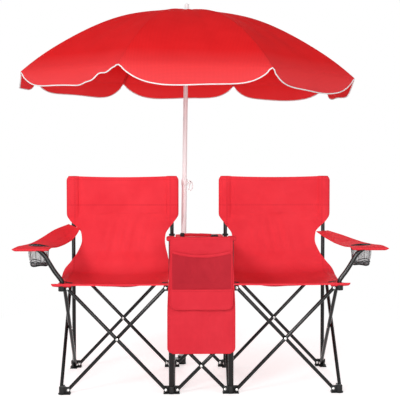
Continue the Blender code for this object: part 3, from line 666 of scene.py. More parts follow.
def taut(run):
    """Where the cloth would lie without its sag: hem, flat seat, crease and back."""
    if run < 0:
        return SEAT_FRONT_Y - 0.0012, SEAT_Z + run
    if run < SEAT_RUN:
        return SEAT_FRONT_Y + run, SEAT_Z
    if run < BACK_RUN:
        turn = (run - SEAT_RUN) / CREASE_RADIUS
        y = BACK_LOW_Y - CREASE_RADIUS + CREASE_RADIUS * math.sin(turn)
        return y, SEAT_Z + CREASE_RADIUS * (1 - math.cos(turn))
    up = run - BACK_RUN
    lean = ease(up / (BACK_UPRIGHT_Z - SEAT_Z))
    return BACK_LOW_Y + (BACK_TOP_Y - BACK_LOW_Y) * lean, SEAT_Z + CREASE_RADIUS + up


def sling_point(sign, across, run):
    """A point on the cloth, from -1 at the chair's inner edge to 1 at its outer edge."""
    edge = edge_of(across)
    x = across * follow(edge, run)
    y, z = taut(run)
    slack = max(0, 1 - (x / POST_HALF) ** 2)
    hang = math.sin(math.pi * min(max(run, 0) / BACK_RUN, 1)) ** 2
    front = 0.05 * bump_at(run, -0.01, 0.05)
    z += FRONT_LIFT * bump_at(run, -0.01, 0.045) - SEAT_SAG * slack * (hang + front)
    if run < BACK_RUN:
        # the seat falls off past the hubs, with drag lines and ripples where the body sits
        z -= max(0, abs(x) - POST_HALF) * 0.35 * ease(run / 0.05)
        z -= 0.0016 * math.sin(x * 46 + run * 21) * slack * hang
        z -= 0.0022 * bump_at(abs(x) - run * 0.42, 0.15, 0.016) * ease(run / 0.05)
    # the back bows to the rear between its sleeves
    share = ease((run - BACK_RUN) / (SLING_RUN - BACK_RUN) * 2)
    bow = share * max(0, 1 - (x / (POST_HALF - 0.040)) ** 2)
    wrap = ease((run - SLEEVE_RUN + 0.030) / 0.032)
    y += PANEL_SET_BACK * wrap + (BACK_BOW - PANEL_SET_BACK * wrap) * bow
    # folds hang from the waist, and slight ones cross the back
    rise = ease((run - BACK_RUN) / 0.05)
    drape = ease((SLEEVE_RUN + 0.02 - run) / 0.10) * rise
    for centre, depth in WAIST_FOLDS:
        y -= depth * drape * bump_at(x + (run - 0.55) * 0.2, centre, 0.013)
    folds = math.sin(x * 52 + 6 * math.sin(run * 9) + sign) + math.sin(x * 21 - run * 30)
    y += 0.0020 * folds * rise * ease((SLING_RUN - 0.02 - run) / 0.06) * slack
    y -= 0.004 * rise * bump_at(run, 0.452, 0.018) * slack
    if run > SLING_RUN - 0.16:
        # the top hem dips between the posts
        z -= 0.0045 * max(0, 1 - (x / 0.19) ** 2) * ease((run - SLING_RUN + 0.16) / 0.16)
        y -= 0.0030 * math.sin(x * 31 + sign) * slack * ease((SLING_RUN - 0.05 - run) / 0.05)
    if wrap and abs(x) > SLEEVE_INNER:
        y += (REAR_POST_Y - sleeve_half(x, edge, run) - y) * wrap
    return Vector((sign * (CHAIR_CENTRE_X + x), y, z))


def cloth_grid(shape, across_steps, along_steps, point, first=0.0, last=1.0):
    """A sheet of cloth as a grid: point(across, along) gives each place and its flat UV."""
    part = bmesh.new()
    flat = part.loops.layers.uv.new("cloth")
    bmesh.ops.create_grid(part, x_segments=across_steps, y_segments=along_steps, size=1)
    spread = {}
    for vert in part.verts:
        along_share = first + (last - first) * (vert.co.y + 1) / 2
        vert.co, spread[vert] = point(vert.co.x, along_share)
    for face in part.faces:
        for loop in face.loops:
            loop[flat].uv = spread[loop.vert]
    pour(shape, part)


def blend(tree, share, one, two):
    """Mixes two colours by the second one's share."""
    inputs = {"Factor": share, "A": one, "B": (*two, 1)}
    return node(tree, "ShaderNodeMix", inputs, data_type="RGBA").outputs["Result"]


def red_cloth(name, tones, rough=0.72, seams=(), weave=1400.0, thin=0.0, painted_backlight=()):
    """Coated red polyester with visible threads, soft clouds of tone and gloss, and rows of
    stitching.

    A seam is (0, place along the cloth) or (1, place across it). The last argument is painted
    light shining through the cloth: where it is painted paler towards a hem, and the tone there.
    """
    made, tree, shader = finish(name, specular_ior_level=0.03, sheen_weight=0.008)
    uv = node(tree, "ShaderNodeUVMap", uv_map="cloth").outputs["UV"]
    parts = node(tree, "ShaderNodeSeparateXYZ", {0: uv}).outputs
    cloud = surface_noise(tree, 6.0, 5, 0.6)
    colour = shades(tree, cloud, (0.30, tones[0]), (0.70, tones[1]))
    if painted_backlight:
        start, end, tone = painted_backlight
        # painted light: the cloth is painted paler towards the hem, where light shines through it
        colour = blend(tree, between(tree, parts["Y"], 0.0, 1.0, start, end), colour, tone)
    wave = {"Vector": uv, "Scale": weave / 20, "Distortion": 0.6, "Detail": 1.0}
    threads = [
        node(tree, "ShaderNodeTexWave", wave, bands_direction=axis).outputs["Fac"] for axis in "XY"
    ]
    height = reckon(tree, "ADD", *threads)
    # painted shade: the colour darkens in the hollows between the threads and is a little lighter on
    # their tops, as light falls on the weave
    painted_thread_shade = {"Color": colour, "Value": between(tree, height, 0.90, 1.03, 0.3, 1.7)}
    colour = node(tree, "ShaderNodeHueSaturation", painted_thread_shade).outputs["Color"]
    rows = 0.0
    for way, place in seams:
        over, run = (parts["Y"], parts["X"]) if way == 0 else (parts["X"], parts["Y"])
        gap = reckon(tree, "ABSOLUTE", reckon(tree, "SUBTRACT", over, place))
        row = between(tree, gap, 1.0, 0.0, 0.0006, 0.0011)
        dash = reckon(tree, "PINGPONG", run, STITCH_LENGTH)
        dash = between(tree, dash, 0.0, 1.0, 0.0008, 0.0014)
        rows = reckon(tree, "MAXIMUM", rows, reckon(tree, "MULTIPLY", row, dash))
    if seams:
        colour = blend(tree, rows, colour, [tone * STITCH_SHADE for tone in tones[0]])
    gloss = between(tree, cloud, rough - 0.06, rough + 0.06)
    wire(tree, shader, height, 0.00018, base_color=colour, roughness=gloss)
    if thin:
        through = node(tree, "ShaderNodeBsdfTranslucent", {"Color": colour}).outputs["BSDF"]
        both = mixed(tree, thin, shader.outputs["BSDF"], through)
        tree.links.new(both, tree.nodes["Material Output"].inputs["Surface"])
    return made


def cloth_map(shape):
    """Lays each face of a sewn shape flat for the weave, in metres, along its own axis."""
    flat = shape.loops.layers.uv.new("cloth")
    for face in shape.faces:
        facing = max(range(3), key=lambda axis: abs(face.normal[axis]))
        axes = [axis for axis in range(3) if axis != facing]
        for loop in face.loops:
            loop[flat].uv = [loop.vert.co[axis] for axis in axes]


SLING_SEAMS = [(0, run) for run in (0.012, 0.6450, 0.6490, SLING_RUN - 0.014)]
SLING_SEAMS += [(1, x) for x in (-0.200, -0.204, 0.200, 0.204)]
SLING_TONES = ((0.82, 0.038, 0.056), (0.90, 0.054, 0.074))
SLING_CLOTH = red_cloth("sling_cloth", SLING_TONES, seams=SLING_SEAMS)
# Tight black polyester webbing and binding
WEBBING = worn(
    "black_webbing",
    (90, 5),
    (1400, 2, 0.0003),
    (0.60, 0.80),
    ((0.3, (0.010, 0.010, 0.011)), (0.7, (0.024, 0.023, 0.024))),
    specular_ior_level=0.25,
)


def made_solid(made):
    """Bakes a piece's modifiers into its mesh."""
    bpy.context.view_layer.update()
    graph = bpy.context.evaluated_depsgraph_get()
    solid = bpy.data.meshes.new_from_object(made.evaluated_get(graph))
    made.modifiers.clear()
    made.data = solid


def thicken(made, thickness, offset=0.0):
    """Gives a sheet its thickness, with a closed edge and crisp rims."""
    modifier = made.modifiers.new("thickness", "SOLIDIFY")
    modifier.thickness = thickness
    modifier.offset = offset
    modifier.use_even_offset = True
    made_solid(made)
    made.data.set_sharp_from_angle(angle=math.radians(50))


def cloth_piece(name, body, cloth, grid, thickness, stands_for=None):
    """A sheet of cloth as a piece: grid is what cloth_grid needs to shape it."""
    shape = bmesh.new()
    cloth_grid(shape, *grid)
    made = piece(name, shape, body, "seat_cloth", cloth, stands_for=stands_for)
    thicken(made, thickness)
    return made


def circle(count):
    """Even turns round a full circle."""
    return [math.tau * n / count for n in range(count)]


for side, sign in SIDES.items():
    front_body, back_body = f"{side}_inner_cross_a", f"{side}_inner_rear_leg"
    seat_fold_at = (sign * (INNER_POST_X + SEAT_FOLD_OFF), 0, 0)
    seat_fold = ("chair_fold", (1, 0, 0), seat_fold_at, SEAT_KEPT)
    back_fold = ("chair_fold", (1, 0, 0), (sign * INNER_POST_X, 0, 0), BACK_KEPT)
    inner_post = f"{side}_inner_rear_leg_post"

    def sling_at(across, run):
        return sling_point(sign, across, run), (across * follow(edge_of(across), run), run)

    for title, first, last, rows, body, fold, posts in (
        ("seat_front", FRONT_HEM_RUN, SEAT_SPLIT_RUN, 60, front_body, seat_fold, []),
        ("seat_rear", SEAT_SPLIT_RUN, WAIST_RUN, 44, f"{side}_inner_rear_hub", seat_fold, []),
        ("back", WAIST_RUN, SLING_RUN, 76, back_body, back_fold, [inner_post]),
    ):
        name = f"{side}_sling_{title}"
        solid = f"{side}_seat_sling" if title == "seat_front" else None
        grid = (120, rows, sling_at, first, last)
        sewn = cloth_piece(name, body, SLING_CLOTH, grid, SLING_THICKNESS, solid)
        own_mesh(sewn)
    for reach, way in (("inner", -1), ("outer", 1)):

        def sleeve_at(across, run):
            edge = edge_of(way)
            half = follow(edge, run)
            x = way * (SLEEVE_INNER + (half - SLEEVE_INNER) * (across + 1) / 2)
            place = sling_point(sign, x / half, run)
            place.y = REAR_POST_Y + sleeve_half(x, edge, run)
            return place, (x, run)

        name, grid = f"{side}_sleeve_{reach}", (16, 44, sleeve_at, SLEEVE_RUN - 0.002, SLING_RUN)
        made = cloth_piece(name, back_body, SLING_CLOTH, grid, SLEEVE_THICKNESS)
        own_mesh(made)

    # a bound slit near each front corner, through which the webbing is tied
    for reach, across in (("inner", -0.95), ("outer", 0.82)):
        spots = [(across + 0.065 * math.cos(t), SLIT_RUN + 0.0060 * math.sin(t)) for t in circle(16)]
        rim = [sling_point(sign, *spot) + UP * 0.0018 for spot in spots]
        tie = [sling_point(sign, across + 0.008 * n, SLIT_RUN) + UP * 0.0010 for n in range(-6, 7)]
        slit = bmesh.new()
        bent_rod(slit, rim, SLIT_RIM_RADIUS, 10, 2, True)
        bent_rod(slit, tie, TIE_RADIUS, 10, 2)
        bound = piece(f"{side}_seat_slit_{reach}", slit, front_body, "seat_cloth", WEBBING)
        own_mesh(bound)

    def fold_at(across, share):
        """The seat's outer front corner, folded under."""
        x = CORNER_FOLD_X + CORNER_FOLD_HALF * across * (1 - 0.55 * share)
        y = SEAT_FRONT_Y - 0.0005 + 0.030 * share
        z = 0.4200 + 0.0025 * max(across, 0) - 0.0085 * math.sin(math.pi * share**0.8)
        return Vector((sign * (CHAIR_CENTRE_X + x), y, z)), (x, y)

    name, grid = f"{side}_seat_corner_fold", (12, 12, fold_at)
    under = cloth_piece(name, front_body, SLING_CLOTH, grid, 0.0016)
    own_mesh(under)

# Umbrella socket and pole: a plastic cup grown out of the left chair's inner rear foot holds
# two telescoping steel tubes in white enamel, which lean a little to the right.
POLE_X = -0.0715
POLE_LEAN = math.radians(0.85)
POLE_AXIS = Matrix.Translation((POLE_X, 0, 0)) @ Matrix.Rotation(POLE_LEAN, 4, "Y")
LOWER_POLE_RADIUS = 0.01125
LOWER_POLE_LOW = 0.0055
LOWER_POLE_TOP = 0.800
UPPER_POLE_RADIUS = 0.0095
UPPER_POLE_BORE = 0.0080
UPPER_POLE_LOW = 0.520
POLE_PLAY = 0.0005
SOCKET_BORE = 0.01175
SOCKET_RADIUS = 0.01725
SOCKET_HEIGHT = 0.036
SOCKET_FLOOR_TOP = 0.0052
SOCKET_RIM = 0.0012
SOCKET_WEB_REACH = 0.0118
DRAIN_RADIUS = 0.0005
COLLAR_RADIUS = 0.0130
COLLAR_LOW = 0.772
COLLAR_TOP = 0.8032
COLLAR_BEAD = 0.0016
KNOB_Z = 0.786
BOSS_RADIUS = 0.0066
BOSS_END = 0.0162

# Off-white stoved enamel, slightly cool, with faint handling marks
WHITE = worn(
    "white_enamel",
    (22, 6, 0.7),
    (500, 2, 0.00004),
    (0.24, 0.38),
    ((0.30, (0.87, 0.90, 0.905)), (0.62, (0.91, 0.94, 0.945))),
    specular_ior_level=0.4,
)


def lean(shape):
    """Sets a part made round the origin's own axis on the leaning pole's axis."""
    bmesh.ops.transform(shape, matrix=POLE_AXIS, verts=shape.verts)


def tube(shape, low, high, inner, outer, rounding, sides=40):
    """A turned tube on the pole's axis, open at both ends."""
    part = bmesh.new()
    ring(part, Vector(), low, high, inner, outer, rounding, sides)
    lean(part)
    join(shape, part)


socket = bmesh.new()
tube(socket, 0.0, SOCKET_FLOOR_TOP, DRAIN_RADIUS, SOCKET_RADIUS + 0.001, 0.0004)
tube(socket, 0.004, SOCKET_HEIGHT, SOCKET_BORE, SOCKET_RADIUS, 0.0012)
tube(socket, SOCKET_HEIGHT - 0.006, SOCKET_HEIGHT, SOCKET_BORE, SOCKET_RADIUS + SOCKET_RIM, 0.0006)
web_end = (POLE_X - SOCKET_WEB_REACH, -0.002, FOOT_HEIGHT)
block(socket, (-INNER_POST_X, REAR_POST_Y + 0.0004, 0.0003), web_end, 0.002)
piece("umbrella_socket", socket, "left_inner_rear_leg", "black_plastic", PLASTIC)

lower = bmesh.new()
bore = UPPER_POLE_RADIUS + POLE_PLAY
tube(lower, LOWER_POLE_LOW, LOWER_POLE_TOP, bore, LOWER_POLE_RADIUS, 0.0003)
piece("lower_pole_tube", lower, "lower_pole", "white_enamel", WHITE, stands_for="lower_pole")
collar = bmesh.new()
tube(collar, COLLAR_LOW, COLLAR_TOP, bore, COLLAR_RADIUS, 0.0016, 48)
for low in (COLLAR_LOW + 0.004, COLLAR_TOP - 0.0055):
    tube(collar, low, low + COLLAR_BEAD, COLLAR_RADIUS - 0.001, COLLAR_RADIUS + 0.0006, 0.0004, 48)
boss = bmesh.new()
rod(boss, (0.010, 0, KNOB_Z), (BOSS_END, 0, KNOB_Z), BOSS_RADIUS, 0.0008, 24)
lean(boss)
join(collar, boss)
piece("pole_collar", collar, "lower_pole", "white_plastic", WHITE)

# The clamp knob's bolt, its head, the lever bent into a loop and the lever's pin
LEVER = ((0, 0.004), (0.0085, -0.003), (0.0105, -0.014), (0.0085, -0.026), (0.002, -0.033))
LEVER += ((-0.0045, -0.030), (-0.0035, -0.016), (-0.001, -0.002))
LEVER_X = 0.0245
LEVER_PIN = Vector((0.0255, 0, KNOB_Z + 0.004))
LEVER_PIN_HALF = Vector((0, 0.0088, 0))
LEVER_PIN_RADIUS = 0.0022
LEVER_RADIUS = 0.0026
BOLT_END = 0.024
BOLT_RADIUS = 0.0035
KNOB_HEAD_START = 0.0195
KNOB_HEAD_END = 0.0275
KNOB_HEAD_RADIUS = 0.0085
knob = bmesh.new()
bolt = ((COLLAR_RADIUS + 0.0003, 0, KNOB_Z), (BOLT_END, 0, KNOB_Z))
rod(knob, *bolt, BOLT_RADIUS, 0.0003, 20, 1)
rod(knob, (KNOB_HEAD_START, 0, KNOB_Z), (KNOB_HEAD_END, 0, KNOB_Z), KNOB_HEAD_RADIUS, 0.0016, 28)
lever = [(LEVER_X + out, 0, KNOB_Z + up) for out, up in LEVER]
bent_rod(knob, lever, LEVER_RADIUS, 14, 5, True)
pin = (LEVER_PIN - LEVER_PIN_HALF, LEVER_PIN + LEVER_PIN_HALF)
rod(knob, *pin, LEVER_PIN_RADIUS, 0.0004, 16, 2)
lean(knob)
finishes = (WHITE, ZINC, PLASTIC)
piece("clamp_knob_wings", knob, "clamp_knob", "white_plastic", *finishes, stands_for="clamp_knob")

# Upper pole: a slim white enamelled tube that slides in the lower one. It carries the notched
# black plastic crown, where the ribs are hinged, and a turned white plastic finial.
CROWN_TOP = 1.519
CANOPY_RADIUS = 0.720
CANOPY_DROP = 0.276
CANOPY_ARC = (CANOPY_RADIUS**2 + CANOPY_DROP**2) / (2 * CANOPY_DROP)
RIB_DROOP = 0.016
DISC_TOP = 1.5156
DISC_LOW = 1.5006
FINIAL_LOW = 1.5203
# Radii and heights: the crown's above its disc's underside, the finial's above its seat
CROWN_PROFILE = ((0.0094, -0.010), (0.0125, -0.0095), (0.0130, -0.001), (0.0178, 0))
CROWN_PROFILE += ((0.0190, 0.0012), (0.0190, 0.0055), (0.0160, 0.0062), (0.0160, 0.0088))
CROWN_PROFILE += ((0.0190, 0.0095), (0.0190, 0.0138), (0.0178, 0.0150), (0.0094, 0.0150))
FINIAL_PROFILE = ((0, 0), (0.0137, 0), (0.0145, 0.0012), (0.0139, 0.0045), (0.0104, 0.0080))
FINIAL_PROFILE += ((0.0092, 0.0120), (0.0100, 0.0190), (0.0100, 0.0250), (0.0080, 0.0290))
FINIAL_PROFILE += ((0.0042, 0.0307), (0, 0.031))


def droop(radius, turn):
    """How far the sprung ribs hang below the even dome, most at the two sides."""
    sideways = 0.1 + 0.9 * math.cos(turn) ** 2
    return RIB_DROOP * sideways * ease((radius / CANOPY_RADIUS - 0.35) / 0.45)


def lathe(profile, steps):
    """Turns a line of (radius, height) places round the upright axis."""
    part = bmesh.new()
    verts = [part.verts.new((radius, 0, height)) for radius, height in profile]
    for one, two in zip(verts, verts[1:]):
        part.edges.new((one, two))
    spin(part, steps)
    return part


def turned(name, profile, base, slot, finish_used):
    """A turned piece at the top of the pole."""
    part = lathe([(radius, base + height) for radius, height in profile], 40)
    bmesh.ops.remove_doubles(part, verts=part.verts, dist=0.00002)
    lean(part)
    shape = bmesh.new()
    join(shape, part)
    piece(name, shape, "upper_pole", slot, finish_used)


upper = bmesh.new()
tube(upper, UPPER_POLE_LOW, FINIAL_LOW + 0.006, UPPER_POLE_BORE, UPPER_POLE_RADIUS, 0.0004)
piece("upper_pole_tube", upper, "upper_pole", "white_enamel", WHITE, stands_for="upper_pole")
turned("crown_disc", CROWN_PROFILE, DISC_LOW, "black_plastic", PLASTIC)
turned("finial", FINIAL_PROFILE, FINIAL_LOW, "white_plastic", WHITE)

# Ribs and stretchers: sprung steel ribs hinged in the crown. Each is pushed up by a stretcher
# of two thin rods from a black runner that slides on the pole.
PANELS = 8
PANEL_TURN = math.radians(250.0)
RIB_RADIUS = 0.0024
RIB_PIVOT_RADIUS = 0.0225
RIB_TIP_INSET = 0.010
RIB_CLOTH_GAP = 0.0016
RIB_DEPTH = (RIB_CLOTH_GAP + RIB_RADIUS) / math.cos(math.pi / PANELS)
RIB_END = (CANOPY_RADIUS - RIB_TIP_INSET) * (1 - RIB_DEPTH / CANOPY_ARC)
PIVOT_Z = (DISC_TOP + DISC_LOW) / 2
RUNNER_LOW = 1.287
RUNNER_TOP = 1.323
RUNNER_BORE = 0.0105
RUNNER_BODY_RADIUS = 0.0135
RUNNER_FLANGE_RADIUS = 0.0165
RUNNER_RIM_RADIUS = 0.0152
RIB_CAP_RADIUS = 0.0032
RIB_CAP_LENGTH = 0.006
STRETCHER_RADIUS = 0.0012
STRETCHER_REACH = 0.365
STRETCHER_PIVOT_Z = 1.317
STRETCHER_GAP = 0.0036
STRETCHER_PIN_RADIUS = 0.0021
STRETCHER_PIN_HALF = 0.0052


def rib_height(out):
    """Height of the rib's middle line, at a distance from the pole."""
    return CROWN_TOP - CANOPY_ARC + math.sqrt((CANOPY_ARC - RIB_DEPTH) ** 2 - out**2)


def rib_turn(count):
    """The direction of a rib round the pole."""
    return PANEL_TURN + count % PANELS * math.tau / PANELS


def turned_to(turn):
    """The pole's axis turned so that X points along one rib."""
    return POLE_AXIS @ Matrix.Rotation(turn, 4, "Z")


runner = bmesh.new()
bore = UPPER_POLE_RADIUS + POLE_PLAY
tube(runner, RUNNER_LOW, RUNNER_TOP, bore, RUNNER_BODY_RADIUS, 0.0008)
tube(runner, RUNNER_TOP - 0.012, RUNNER_TOP, RUNNER_BORE, RUNNER_FLANGE_RADIUS, 0.0014)
tube(runner, RUNNER_LOW, RUNNER_LOW + 0.006, RUNNER_BORE, RUNNER_RIM_RADIUS, 0.0012)
piece("runner_slider", runner, "runner", "black_plastic", PLASTIC, stands_for="runner")

for count in range(PANELS):
    turn = rib_turn(count)
    place = turned_to(turn)
    sideways = place.to_3x3() @ Vector((0, 1, 0))
    name = f"rib_{count + 1}"
    start = RIB_PIVOT_RADIUS + 0.002
    outs = [start + (RIB_END - start) * n / 14 for n in range(15)]
    path = [place @ Vector((RIB_PIVOT_RADIUS - 0.0015, 0, PIVOT_Z))]
    path += [place @ Vector((out, 0, rib_height(out) - droop(out, turn))) for out in outs]
    rib = bmesh.new()
    bent_rod(rib, path, RIB_RADIUS, 12, 3)
    tip = path[-1] + (path[-1] - path[-2]).normalized() * RIB_CAP_LENGTH
    rod(rib, path[-1], tip, RIB_CAP_RADIUS, 0.0008, 16, 1)
    hinge_z = rib_height(STRETCHER_REACH) - droop(STRETCHER_REACH, turn) - 0.0022
    middle = place @ Vector((STRETCHER_REACH, 0, hinge_z))
    pin = sideways * STRETCHER_PIN_HALF
    rod(rib, middle - pin, middle + pin, STRETCHER_PIN_RADIUS, 0.0004, 12, 1)
    piece(f"{name}_rod", rib, name, "frame_steel", ENAMEL, PLASTIC, stands_for=name)
    strut = bmesh.new()
    foot = place @ Vector((RUNNER_FLANGE_RADIUS - 0.002, 0, STRETCHER_PIVOT_Z))
    for aside in (-sideways * STRETCHER_GAP, sideways * STRETCHER_GAP):
        rod(strut, foot + aside, middle + aside, STRETCHER_RADIUS, 0.0003, 10)
    made = piece(f"stretcher_{count + 1}", strut, "runner", "frame_steel", ENAMEL)
    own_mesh(made)

# Canopy: eight gores of coated red polyester sewn together over the ribs, each ending in a
# valance flap that hangs between the rib tips and is bound in white tape.
CLOTH_HOLE = 0.0125
PANEL_SLACK = 0.010
VALANCE_DROP = 0.070
NOTCH_DROP = 0.003
SIDE_FLARE = 0.042
CAUGHT_TURN = PANEL_TURN + math.radians(315.0)
CANOPY_THICKNESS = 0.0014
GORE_STEPS = 16
GORE_ROWS = 34
FLAP_ROWS = 10
FLAT_HALF_GORE = 0.275
FLAT_GORE_LENGTH = 0.78
TAPE_RADIUS = 0.0024
POCKET_RADIUS = 0.0052
POCKET_OUTS = (0.640, 0.655, 0.675, 0.695, 0.7125)

CANOPY_CLOTH = red_cloth(
    "canopy_cloth",
    ((0.88, 0.023, 0.027), (0.94, 0.032, 0.037)),
    rough=0.75,
    weave=1300.0,
    thin=0.42,
    # painted light shining through the valance, as a paler tone towards its hem
    painted_backlight=(0.69, 0.83, (0.95, 0.098, 0.108)),
)
# White woven binding tape, folded over an edge and stitched
TAPE = worn(
    "white_tape",
    (40, 4),
    (1600, 2, 0.0002),
    (0.62, 0.78),
    ((0.3, (0.78, 0.77, 0.77)), (0.7, (0.90, 0.89, 0.89))),
    specular_ior_level=0.2,
)


def gore_point(turn, across, share, drop=0.0):
    """A point on a gore: share runs from the pole to the rib tips, drop down the valance."""
    half = math.pi / PANELS
    radius = CLOTH_HOLE + (CANOPY_RADIUS - CLOTH_HOLE) * share
    slack = 1 - across**2
    chord = math.cos(half) / math.cos(across * half)
    out = radius * chord - PANEL_SLACK * slack * share
    z = CROWN_TOP - CANOPY_ARC + math.sqrt(CANOPY_ARC**2 - radius**2)
    # cloth drags from the crown and the rib tips
    z -= 0.0022 * math.sin(across * 9.0 + turn) * slack * share * (1 - share) * 4
    z -= 0.0035 * slack * math.sin(math.pi * share)
    flap = (1 - abs(across) ** 5) * (1 + 0.05 * math.sin(across * 4 + turn * 5))
    # the front left hem is caught up near its right end
    caught = bump_at(turn, CAUGHT_TURN, 0.2) * ease((across - 0.15) / 0.7)
    flap *= 1 - caught * (0.62 + 0.10 * math.sin(across * 22))
    z -= drop * (NOTCH_DROP + (VALANCE_DROP - NOTCH_DROP) * flap)
    angle = turn + half + across * half
    z -= droop(radius, angle)
    # short creases fan out from the rib tips
    tip = share**6 * (1 - drop)
    z -= 0.0022 * tip * math.sin(9 * math.atan2(1 - share, 1 - abs(across) + 0.02)) * slack
    # the far left flap is blown outwards
    flare = SIDE_FLARE * max(0, -math.cos(angle)) ** 6 * slack * drop
    z += 0.6 * flare
    out += flare
    out += 0.004 * drop * slack + 0.003 * drop * drop * math.sin(across * 7 + turn * 3) * slack
    return POLE_AXIS @ Vector((out * math.cos(angle), out * math.sin(angle), z))


def on_rib(mesh, edge, turn):
    """Whether an edge of the cloth lies along the rib at this turn."""
    for corner in edge.vertices:
        place = POLE_AXIS.inverted() @ mesh.vertices[corner].co
        if abs(place.y * math.cos(turn) - place.x * math.sin(turn)) > 0.0004:
            return False
    return True


# each piece of the cloth runs from the middle of one gore to the middle of the next
for count in range(PANELS):
    before, turn = rib_turn(count - 1), rib_turn(count)
    rib = f"rib_{count + 1}"
    gore = bmesh.new()
    for start, first in ((before, 0.0), (turn, -1.0)):

        def cloth_at(across, share):
            over, drop = first + (across + 1) / 2, max(share - 1, 0)
            share = min(share, 1)
            flat = (over * FLAT_HALF_GORE * share, FLAT_GORE_LENGTH * share + VALANCE_DROP * drop)
            return gore_point(start, over, share, drop), flat

        cloth_grid(gore, GORE_STEPS, GORE_ROWS, cloth_at, 0.0, 1.0)
        cloth_grid(gore, GORE_STEPS, FLAP_ROWS, cloth_at, 1.0, 2.0)
    bmesh.ops.remove_doubles(gore, verts=gore.verts, dist=0.0001)
    bmesh.ops.recalc_face_normals(gore, faces=gore.faces)
    solid = None if count else "canopy"
    look = (rib, "canopy_cloth", CANOPY_CLOTH)
    sewn = piece(f"canopy_cloth_{count + 1}", gore, *look, stands_for=solid, sharp=50)
    thicken(sewn, CANOPY_THICKNESS)
    for edge in sewn.data.edges:
        if on_rib(sewn.data, edge, turn):
            edge.use_edge_sharp = True
    hem = bmesh.new()
    edge = [gore_point(before, n / 16, 1, 1.0) for n in range(16)]
    edge += [gore_point(turn, n / 16 - 1, 1, 1.0) for n in range(17)]
    bent_rod(hem, edge, TAPE_RADIUS, 12, 2)
    tape = piece(f"canopy_tape_{count + 1}", hem, rib, "canopy_cloth", TAPE)
    pocket = bmesh.new()
    place = turned_to(turn)
    lows = [rib_height(out) - droop(out, turn) - 0.0008 for out in POCKET_OUTS]
    path = [place @ Vector((out, 0, low)) for out, low in zip(POCKET_OUTS, lows)]
    bent_rod(pocket, path, POCKET_RADIUS, 14, 3)
    cloth_map(pocket)
    tip_pocket = piece(f"rib_tip_pocket_{count + 1}", pocket, *look)
    for each in (sewn, tape):
        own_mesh(each)

# Armrests: doubled red cloth from a hem over the arm tube to the rear post, with a round hole
# for the cup holder. The right one hangs lower at the rear.
ARMREST_THICKNESS = 0.004
ARMREST_TIP_X = 0.7150
ARMREST_FRONT_INNER_X = 0.5800
ARMREST_REAR_OUTER_X = 0.5490
ARMREST_REAR_INNER_X = 0.5040
ARMREST_FRONT_Y = -0.479
ARMREST_REAR_Y = -0.0619
HEM_Z = 0.5545
HEM_RADIUS = 0.0100
HEM_FLATNESS = 0.62
HEM_XS = (0.580, 0.590, 0.610, 0.645, 0.680, 0.704, 0.7155)
HEM_INNER_END = 0.576
HEM_OUTER_END = 0.7165
EDGING_RADIUS = 0.0027
HOLE_BINDING_RADIUS = 0.0024
CUP_AT = (0.628, -0.385)
CUP_RADIUS = 0.040
# Heights by share of the length from the front hem, at the inner and at the outer edge
REST_INNER = {
    "left": ((0, 0.5555), (0.10, 0.5590), (0.25, 0.5535), (0.36, 0.5500), (0.50, 0.5490)),
    "right": ((0, 0.5555), (0.10, 0.5590), (0.25, 0.5540), (0.36, 0.5525), (0.50, 0.5530)),
}
REST_INNER["left"] += ((0.75, 0.5556), (0.92, 0.576), (1, 0.596))
REST_INNER["right"] += ((0.75, 0.5620), (1, 0.5790))
REST_OUTER = {
    "left": ((0, 0.5565), (0.10, 0.5625), (0.25, 0.5625), (0.36, 0.5665), (0.50, 0.5775)),
    "right": ((0, 0.5565), (0.10, 0.5625), (0.25, 0.5600), (0.36, 0.5605), (0.50, 0.5645)),
}
REST_OUTER["left"] += ((0.75, 0.6005), (1, 0.6115))
REST_OUTER["right"] += ((0.75, 0.5745), (1, 0.5820))
REST_LOOP_Z = {"left": 0.5985, "right": 0.5690}
REST_LOOP_HEIGHT = 0.0095
REST_LOOP_BORE = 0.0090
REST_LOOP_RADIUS = 0.0119

ARM_TONES = ((0.84, 0.040, 0.056), (0.92, 0.052, 0.070))
ARM_SEAMS = ((0, 0.012), (0, 0.400), (1, -0.002), (1, -0.008))
ARM_CLOTH = red_cloth("armrest_cloth", ARM_TONES, seams=ARM_SEAMS)


def armrest_edges(share):
    """Distances of the inner and the outer edge from the middle of the object."""
    outer = ARMREST_TIP_X + (ARMREST_REAR_OUTER_X - ARMREST_TIP_X) * share
    inner = ARMREST_FRONT_INNER_X + (ARMREST_REAR_INNER_X - ARMREST_FRONT_INNER_X) * share
    return inner + 0.010 * math.sin(math.pi * share), outer


def armrest_point(sign, across, share):
    """A point of the armrest, from its inner edge to its outer edge and front to rear."""
    inner, outer = armrest_edges(share)
    side = "left" if sign < 0 else "right"
    low, high = follow(REST_INNER[side], share), follow(REST_OUTER[side], share)
    y = ARMREST_FRONT_Y + (ARMREST_REAR_Y - ARMREST_FRONT_Y) * share
    z = low + (high - low) * max(across, 0) ** 1.35
    ripple = math.sin(math.pi * across) * ease(share * 4)
    z -= 0.0022 * ripple * bump_at(share + across * 0.06, 0.55, 0.035)
    z -= 0.0018 * ripple * bump_at(share - across * 0.08, 0.78, 0.030)
    return Vector((sign * (inner + (outer - inner) * across), y, z))


def armrest_at(sign, x, y):
    """The point of the armrest's cloth above a place on the floor."""
    share = (y - ARMREST_FRONT_Y) / (ARMREST_REAR_Y - ARMREST_FRONT_Y)
    inner, outer = armrest_edges(share)
    return armrest_point(sign, (abs(x) - inner) / (outer - inner), share)


def fold_forward(made):
    """Gives a piece its own copy of its mesh."""
    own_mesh(made)


